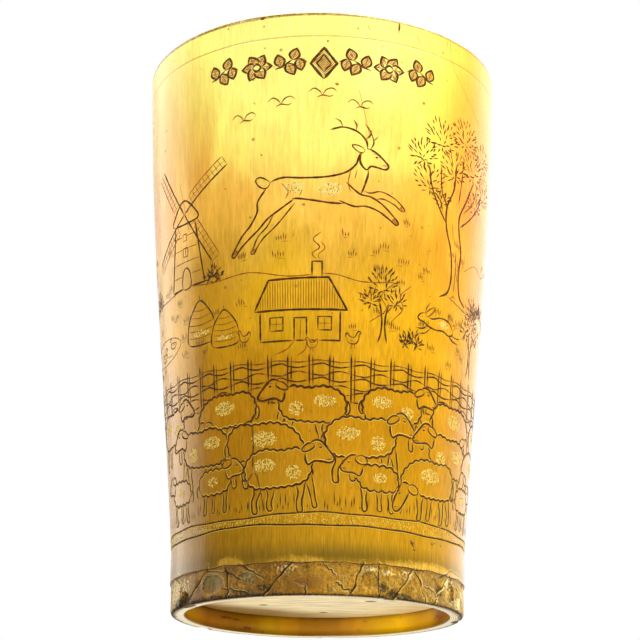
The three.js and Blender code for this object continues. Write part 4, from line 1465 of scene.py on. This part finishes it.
def compose():
    """All strokes, dark cuts and pale stipple, with what nearer figures cover left out."""
    hand = np.random.default_rng(11)
    upper, lower = ground_line(*STRIP_TOP), ground_line(*STRIP_FOOT)
    parts = [("line", 0.15, upper), ("line", 0.17, lower)]
    for row in LAND_LINES.strip().splitlines():
        width, *points = map(float, row.split())
        parts.append(("line", width, flowing(np.array(points).reshape(-1, 2))))
    for place in PLACES:
        width, rows = MOTIFS[place[0]]
        for kind, size, points in motif_parts(rows):
            size = size * (0.4 + 0.6 * place[3]) if isinstance(size, float) else size
            parts.append((kind, size, set_down(points, place, width)))
    strip = strip_between(lower, upper, hand)
    strokes, cuts, pale, dark_dots = [], [], [], [strip[::6] + (0.21, 0.13)]
    shapes = [(i, p) for i, (kind, _, p) in enumerate(parts) if kind in ("shape", "limb")]
    for i, (kind, size, points) in enumerate(parts):
        covers = [p for j, p in shapes if j > i and near_each_other(p, points)]
        if kind in ("line", "shape", "limb"):
            strokes += [(size, run) for run in shown_runs(points, covers)]
        elif kind == "hatch":
            for width, cut in hatching(points, *size):
                strokes += [(width, run) for run in shown_runs(cut, covers)]
        elif kind == "patch":
            dots = scattered(points, STIPPLE_PITCH, hand)
            specks = scattered(points, SPECK_PITCH, hand)
            for cover in covers:
                dots, specks = dots[~inside(dots, cover)], specks[~inside(specks, cover)]
            pale.append(dots)
            dark_dots.append(specks)
        else:
            cuts.append(foliage(points, hand))
    cuts += grass_cuts([p for _, p in shapes], hand)
    return strokes, np.vstack(cuts), np.vstack(pale), strip, np.vstack(dark_dots)


def node_tree(name, inputs, output):
    """A new geometry-nodes tree, its named inputs and output, and its begin and end nodes."""
    tree = bpy.data.node_groups.new(name, "GeometryNodeTree")
    for title, kind in inputs.items():
        tree.interface.new_socket(title, in_out="INPUT", socket_type="NodeSocket" + kind)
    tree.interface.new_socket(output, in_out="OUTPUT", socket_type="NodeSocketGeometry")
    return tree, add(tree, "NodeGroupInput").outputs, add(tree, "NodeGroupOutput").inputs[0]


def next_node(work, kind, **settings):
    """The next node of a chain: it takes the work so far in its first input."""
    node = add(work.id_data, kind, **settings)
    wire((work, node.inputs[0]))
    return node


def lay_on_wall_group():
    """Geometry nodes that lay flat work on the wall: x runs round it, y up it, z out of it."""
    tree, begin, end = node_tree("lay_on_wall", {"Flat work": "Geometry"}, "Laid work")
    place = add(tree, "GeometryNodeInputPosition")
    along, up, proud = map(Reading, next_node(place, "ShaderNodeSeparateXYZ").outputs)
    turn = along / UNROLLED_RADIUS
    climb = (up - PLAIN_BAND_TOP).math("DIVIDE", HEIGHT - PLAIN_BAND_TOP, clamp=True)
    swell = (climb.math("POWER", SWELL_CLIMB) * math.pi).math("SINE") * SWELL
    radius = climb * (RIM_RADIUS - FOOT_RADIUS) + FOOT_RADIUS + swell + proud
    laid = add(tree, "ShaderNodeCombineXYZ", X=radius * turn.math("SINE"),
               Y=radius * (turn.math("COSINE") * -1.0), Z=up)
    wire((next_node(begin[0], "GeometryNodeSetPosition", Position=laid), end))
    return tree


LAY_ON_WALL = lay_on_wall_group()


def noted(tree, name):
    """A number noted at each point of the flat work."""
    return Reading(
        add(tree, "GeometryNodeInputNamedAttribute", data_type="FLOAT", Name=name).outputs[0]
    )


def stroke_tree():
    """Geometry nodes that turn a net of flat lines into tapering strokes on the wall."""
    inputs = {"Lines": "Geometry", "Spread": "Float", "Thickness": "Float", "Proud": "Float",
              "Sideways": "Float", "Material": "Material"}
    tree, begin, end = node_tree("strokes_on_wall", inputs, "Strokes")
    work = next_node(begin["Lines"], "GeometryNodeMeshToCurve")
    work = next_node(work, "GeometryNodeSetCurveNormal", mode="Z_UP")

    # The lines can be shifted sideways, to lie beside a cut.
    across = add(tree, "ShaderNodeVectorMath", operation="CROSS_PRODUCT")
    wire(*zip((add(tree, "GeometryNodeInputTangent"), (0.0, 0.0, 1.0)), across.inputs))
    shift = next_node(across, "ShaderNodeVectorMath", operation="SCALE", Scale=begin["Sideways"])
    work = next_node(work, "GeometryNodeSetPosition", Offset=shift)

    # A flattened ring with four sides is swept along them and set a little proud of the wall.
    flat = add(tree, "ShaderNodeCombineXYZ", X=1.0, Y=begin["Thickness"], Z=1.0)
    ring = add(tree, "GeometryNodeCurvePrimitiveCircle", Resolution=4, Radius=1.0)
    ring = next_node(ring, "GeometryNodeTransform", Scale=flat)
    size = noted(tree, "half_width") * begin["Spread"]
    work = next_node(work, "GeometryNodeCurveToMesh", Profile_Curve=ring, Scale=size,
                     Fill_Caps=True)
    out = add(tree, "ShaderNodeCombineXYZ", Z=begin["Proud"])
    work = next_node(work, "GeometryNodeSetPosition", Offset=out)
    work = next_node(work, "GeometryNodeGroup", node_tree=LAY_ON_WALL)
    work = next_node(work, "GeometryNodeSetShadeSmooth")
    work = next_node(work, "GeometryNodeRealizeInstances")
    wire((next_node(work, "GeometryNodeSetMaterial", Material=begin["Material"]), end))
    return tree


def mark_tree():
    """Geometry nodes that set one small pointed cut at each of many flat points on the wall."""
    inputs = {"Points": "Geometry", "Corners": "Int", "Proud": "Float", "Material": "Material"}
    tree, begin, end = node_tree("marks_on_wall", inputs, "Marks")
    shape = add(tree, "GeometryNodeMeshCone", Vertices=begin["Corners"], Radius_Top=0.35,
                Radius_Bottom=1.0, Depth=1.0)
    size = add(tree, "ShaderNodeCombineXYZ", X=noted(tree, "mark_length"),
               Y=noted(tree, "mark_width"), Z=begin["Proud"])
    spin = add(tree, "ShaderNodeCombineXYZ", Z=noted(tree, "mark_angle"))
    work = next_node(begin["Points"], "GeometryNodeMeshToPoints")
    work = next_node(work, "GeometryNodeInstanceOnPoints", Instance=shape, Rotation=spin,
                     Scale=size)
    work = next_node(work, "GeometryNodeRealizeInstances")
    work = next_node(work, "GeometryNodeGroup", node_tree=LAY_ON_WALL)
    wire((next_node(work, "GeometryNodeSetMaterial", Material=begin["Material"]), end))
    return tree


STROKES = stroke_tree()
MARKS = mark_tree()


def grow(name, points, edges, numbers, tree, settings):
    """A plain mesh made by geometry nodes from flat points in mm, declared as a piece."""
    mesh = bpy.data.meshes.new(name)
    flat = np.column_stack([points, np.zeros(len(points))]) / 1000
    mesh.from_pydata(flat.tolist(), edges, [])
    seed = put(name, mesh)
    for number_name, values in numbers.items():
        note(seed, number_name, values)
    grower = seed.modifiers.new("grow", "NODES")
    grower.node_group = tree
    for item in tree.interface.items_tree:
        if item.in_out == "INPUT" and item.name in settings:
            grower[item.identifier] = settings[item.name]
    bpy.context.view_layer.update()
    shown = seed.evaluated_get(bpy.context.evaluated_depsgraph_get())
    grown = bpy.data.meshes.new_from_object(shown)
    seed.modifiers.remove(grower)
    seed.data = grown
    bpy.data.meshes.remove(mesh)
    grown.name = name
    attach(seed, "root")


def grow_strokes(name, lines, material, thickness=0.12, proud=0.00001, spread=1.0, sideways=0.0):
    """Tapering strokes along lines, each given as a half width in mm and its points."""
    points, edges, halves = [], [], []
    start = 0
    hand = np.random.default_rng(3)
    for width, line in lines:
        steps = np.hypot(*np.diff(line, axis=0).T)
        run = np.concatenate([[0.0], np.cumsum(steps)])
        ends = np.minimum(run, run[-1] - run)
        taper = 0.3 + 0.7 * np.clip(ends / min(0.9, run[-1] * 0.4), 0, 1)
        wave = 1 + 0.13 * np.sin(run * 1.9 + hand.uniform(0, 6)) + 0.07 * np.sin(run * 5.3)
        points.append(line)
        halves.append(width * taper * wave / 1000)
        edges += [(start + i, start + i + 1) for i in range(len(line) - 1)]
        start += len(line)
    settings = {"Spread": spread, "Thickness": thickness, "Proud": proud, "Sideways": sideways,
                "Material": material}
    numbers = {"half_width": np.concatenate(halves)}
    grow(name, np.vstack(points), edges, numbers, STROKES, settings)


def grow_marks(name, points, length, width, angle, tone, material, corners=5, proud=0.00002):
    """Small pointed cuts: half lengths and half widths in mm, and a tone from 0.1 to 0.14 mm."""
    count = np.ones(len(points))
    numbers = {"mark_length": length / 1000 * count, "mark_width": width / 1000 * count,
               "mark_angle": angle * count, "half_width": tone / 1000 * count}
    settings = {"Corners": corners, "Proud": proud, "Material": material}
    grow(name, points, [], numbers, MARKS, settings)


def grow_stipple(name, points, length, width, angle, material, proud=0.00002):
    """Many like dots of uneven size and direction."""
    hand = np.random.default_rng(5)
    vary = hand.uniform(0.7, 1.3, len(points))
    angle = angle + hand.uniform(-0.4, 0.4, len(points))
    grow_marks(name, points, length * vary, width * vary, angle, 0.14, material, proud=proud)


PLAIN = (1.0, 1.0, 1.0)


def cut_material(name, deep, thin, low, high, roughness):
    """The floor of a cut: its colour by depth, height on the cup and small patches."""
    material, shader, place, _, _, z = surface(name)
    tree = material.node_tree
    patches = stretched_noise(place, (900.0, 900.0, 900.0), 3.0)
    share = attribute(tree, "half_width").span(0.000095, 0.00014, 0.85, 0.0)
    share = patches.span(0.35, 0.70) * 0.4 + share
    colour = paint(deep, thin, share.math("MINIMUM", 1.0))
    colour = tint(colour, paint(low, high, z.span(0.050, 0.085)))
    rough = patches.span(0.3, 0.7, roughness - 0.1, roughness + 0.15)
    grit = add(tree, "ShaderNodeBump", Strength=0.4, Distance=0.00003, Height=patches)
    set_up(shader, Base_Color=colour, Roughness=rough, Normal=grit, Specular_IOR_Level=0.15,
           Specular_Tint=WARM_SHINE)
    return material


PIGMENT = cut_material(
    "dark_pigment", (0.028, 0.011, 0.003), (0.30, 0.095, 0.008), PLAIN, (1.5, 1.2, 0.9), 0.55
)
PALE_CUT = cut_material(
    "pale_cut_horn", (0.76, 0.54, 0.13), (0.90, 0.67, 0.22), (1.0, 1.0, 0.85), (1.1, 1.3, 1.5), 0.6
)
BURR = cut_material(
    "burr", (0.76, 0.49, 0.085), (0.64, 0.37, 0.04), (1.0, 1.0, 0.7), (1.2, 1.3, 1.4), 0.5
)
BOLD_FROM = 0.125
BURR_FROM = 0.13
BURR_BELOW = 36

strokes, cuts, pale_dots, strip_dots, dark_dots = compose()
bold_lines = [s for s in strokes if s[0] > BOLD_FROM]
fine_lines = [s for s in strokes if s[0] <= BOLD_FROM]
low_lines = [s for s in strokes if s[0] > BURR_FROM and s[1][:, 1].mean() < BURR_BELOW]
grow_strokes("bold_cut_lines", bold_lines, PIGMENT)
grow_strokes("fine_cut_lines", fine_lines, PIGMENT)
grow_strokes("burr_beside_lines", low_lines, BURR, 0.2, 0.000008, spread=0.42, sideways=0.00023)
grow_marks("leaf_and_grass_cuts", cuts[:, :2], *cuts[:, 2:].T, cuts[:, 3], PIGMENT, corners=4)
grow_stipple("pale_stipple", pale_dots, 0.155, 0.11, 1.3, PALE_CUT)
grow_stipple("stippled_strip", strip_dots, 0.15, 0.09, 1.3, BURR)
grow_stipple("dark_stipple", dark_dots, 0.12, 0.07, 1.2, PIGMENT, proud=0.00004)

# Old knocks and stains on the wall: a nick and short cracks in the rim, fine scratches, a
# forked crack low down and brown spots, all worn into the horn and filled with old dirt.
KNOCKS = [
    # half width, then points along and up, in mm
    (0.34, (-11.6, 114.1), (-10.2, 114.25)),
    (0.20, (14.15, 114.4), (14.1, 113.2), (14.0, 111.9)),
    (0.07, (25.2, 114.2), (24.8, 111.6)),
    (0.07, (25.8, 114.4), (26.1, 111.0)),
    (0.07, (17.6, 112.8), (18.9, 109.9)),
    (0.05, (25.6, 111.6), (27.4, 107.6), (31.0, 103.9), (36.4, 99.8)),
    (0.09, (8.0, 112.6), (8.5, 111.3)),
    (0.22, (20.8, 11.5), (21.5, 10.7), (22.1, 9.8)),
    (0.19, (20.6, 10.7), (22.3, 11.0)),
    (0.17, (21.6, 9.7), (22.6, 9.6)),
    (0.18, (27.2, 11.7), (27.9, 11.0)),
    (0.17, (28.0, 11.8), (28.8, 11.4)),
    (0.15, (30.5, 11.7), (30.9, 11.3)),
    (0.18, (-13.9, 33.0), (-13.7, 28.4), (-13.9, 25.6), (-13.8, 23.4)),
    (0.16, (-13.8, 23.4), (-14.5, 22.3), (-15.4, 21.4), (-16.4, 20.6)),
    (0.16, (-13.8, 23.4), (-13.0, 22.4), (-12.4, 20.3), (-11.9, 17.8), (-11.3, 15.4)),
    (0.06, (-31, 84), (-28.4, 73)),
    (0.05, (38, 60), (36.2, 48)),
    (0.05, (6.5, 99), (9.0, 88)),
    (0.05, (70, 96), (74, 82)),
    (0.05, (118, 52), (121, 41)),
    (0.06, (96, 40), (93, 31)),
]
SPOTS = [
    # along, up, radius, in mm
    (0.9, 108.4, 0.24), (2.6, 99.3, 0.36), (19.6, 98.2, 0.36), (-11.2, 85.2, 0.2),
    (-13.5, 72.8, 0.22), (10.7, 80.0, 0.16), (6.3, 111.5, 0.2), (-17.9, 113.4, 0.22),
    (-10.7, 112.3, 0.2), (15.3, 64.5, 0.2), (-33.0, 57.0, 0.2), (62.0, 100.0, 0.3),
    (84.0, 88.0, 0.24), (131.0, 64.0, 0.3), (146.0, 101.0, 0.26), (-2.0, 45.2, 0.16),
    (12.4, 10.2, 0.18), (-24.0, 11.0, 0.16), (103.0, 55.0, 0.22),
]
SPOT_ROUNDNESS = 0.85
SPOT_TONE = 0.112
STAIN = cut_material(
    "old_stain", (0.10, 0.036, 0.007), (0.52, 0.24, 0.03), PLAIN, (1.2, 1.2, 1.0), 0.5
)
knocks = [(half, even(np.array(points), 0.4)) for half, *points in KNOCKS]
grow_strokes("old_scratches", knocks, STAIN, 0.1, 0.000008)
spots = np.array(SPOTS)
radii = spots[:, 2]
grow_marks(
    "brown_spots", spots[:, :2], radii, radii * SPOT_ROUNDNESS, spots[:, 0], SPOT_TONE, STAIN,
    corners=12,
)


# The base: a thin scraped disc of horn, sprung into a groove inside the foot while hot, so that
# it stands a little above the ring that the beaker rests on. Its underside keeps straight
# scraping marks and a few dark flecks of horn.
disc_low, disc_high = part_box(DISC_NODE)
DISC_RADIUS = disc_high.x
DISC_EDGE = 0.0009
DISC_TOP_BEVEL = 0.0004
DISC_SIDES = 192
DISC_DARK, DISC_LIGHT = (0.88, 0.63, 0.29), (1.0, 0.87, 0.49)
DISC_AMBER, DISC_FAR_SHADOW = (0.55, 0.30, 0.06), (0.26, 0.13, 0.016)
DISC_STAIN, DISC_THREAD, DISC_FLECK = (0.34, 0.19, 0.06), (0.38, 0.22, 0.07), (0.11, 0.05, 0.014)
FLECKS = [
    # x, y, half length, half width, in metres
    (-0.0110, 0.0094, 0.0013, 0.0010), (0.0108, 0.0035, 0.0016, 0.0010),
    (0.0013, 0.0187, 0.0011, 0.0009), (-0.0040, -0.0120, 0.0012, 0.0005),
    (0.0150, -0.0098, 0.0008, 0.0005), (-0.0170, -0.0040, 0.0012, 0.0006),
    (0.0185, -0.0040, 0.0009, 0.0008), (-0.0030, -0.0060, 0.0009, 0.0004),
]


def disc_section():
    """Half outline of the disc, from the middle of its underside to the middle of its top."""
    face = DISC_RADIUS - GROOVE_DEPTH
    middle = (disc_low.z + disc_high.z) / 2
    flat = [(r, disc_low.z) for r in np.linspace(0.0, face, 12)]
    edge = [(DISC_RADIUS, middle - DISC_EDGE / 2), (DISC_RADIUS, middle + DISC_EDGE / 2)]
    top = [(face, disc_high.z - DISC_TOP_BEVEL), (face - DISC_TOP_BEVEL, disc_high.z)]
    top += [(r, disc_high.z) for r in np.linspace(face - 0.001, 0.0, 8)]
    return np.array(flat + edge + top)


def disc_material():
    """Scraped pale horn with straight grain across it, amber towards its edge."""
    material, shader, place, x, y, _ = surface("scraped_horn")
    grain = stretched_noise(place, (170.0, 2600.0, 200.0), 4.0, lean=(0.0, 0.0, 0.03))
    bands = stretched_noise(place, (25.0, 420.0, 60.0), 3.0, lean=(0.0, 0.0, 0.02))
    blotches = stretched_noise(place, (70.0, 150.0, 60.0), 4.0, warp=0.8)
    threads = stretched_noise(place, (90.0, 3600.0, 200.0), 2.0)
    colour = paint(DISC_DARK, DISC_LIGHT, bands.span(0.30, 0.70))
    colour = tint(colour, grain.span(0.30, 0.70, 0.60, 1.20))

    # Amber round the edge, and a painted shadow along the far edge, deepest at the far left.
    rim = off_axis(x, y).span(0.017, 0.026) * blotches.span(0.3, 0.7, 0.3, 1.0)
    colour = paint(colour, DISC_AMBER, rim * 0.5)
    deep = (blotches * 0.004 + (x * -0.5 + y)).span(0.0175, 0.0245)
    colour = paint(colour, DISC_FAR_SHADOW, deep * x.span(-0.010, 0.004, 0.95, 0.45))

    # Stains, dark threads of grain and flecks.
    stains = blotches.span(0.60, 0.70) * grain.span(0.40, 0.60)
    colour = paint(colour, DISC_STAIN, stains * 0.6)
    colour = paint(colour, DISC_THREAD, threads.span(0.60, 0.68, 0.0, 0.6))
    flecks = blotches * 0.0
    for fleck in FLECKS:
        away = blotches * 0.9 + from_spot(x, y, fleck)
        flecks = flecks.most(away.span(0.75, 1.30, 1.0, 0.0))
    flecks = flecks * grain.span(0.30, 0.60, 0.6, 1.0)
    colour = paint(colour, DISC_FLECK, flecks)
    rough = grain.span(0.3, 0.7, 0.42, 0.62)
    bump = add(material.node_tree, "ShaderNodeBump", Strength=0.4, Distance=0.0001, Height=grain)
    set_up(shader, Base_Color=colour, Roughness=rough, Normal=bump)
    return material


disc = revolve("horn_disc", disc_section(), DISC_SIDES, closed=False)
disc.data.materials.append(disc_material())
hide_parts(DISC_NODE)
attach(disc, "root")


# The floor: a plain pale sheet in the plane of the foot, open under the cup's base so that
# light and the low camera reach the underside; it is clear when seen from below. It is paler
# far off, where less light falls on it.
FLOOR_HOLE = BAND_RADIUS - 0.0005
FLOOR_RINGS = (0.75, 0.3, 0.08, FLOOR_HOLE)
FLOOR_SIDES = 96
FLOOR_NEAR = (0.40, 0.40, 0.40)
FLOOR_FAR = (0.95, 0.95, 0.95)


def lay_floor():
    """A ring-shaped sheet from the hole out to a wide circle."""
    section = np.array([(radius, 0.0) for radius in FLOOR_RINGS])
    sheet = revolve("floor", section, FLOOR_SIDES, closed=False)
    material, shader, _, x, y, _ = surface("pale_sheet")
    tree = material.node_tree
    far = off_axis(x, y).span(0.20, 0.65)
    set_up(shader, Base_Color=paint(FLOOR_NEAR, FLOOR_FAR, far), Roughness=0.9)
    from_below = add(tree, "ShaderNodeNewGeometry").outputs["Backfacing"]
    either = add(tree, "ShaderNodeMixShader")
    wire(*zip((from_below, shader, add(tree, "ShaderNodeBsdfTransparent")), either.inputs))
    set_up(tree.nodes["Material Output"], Surface=either)
    sheet.data.materials.append(material)


lay_floor()
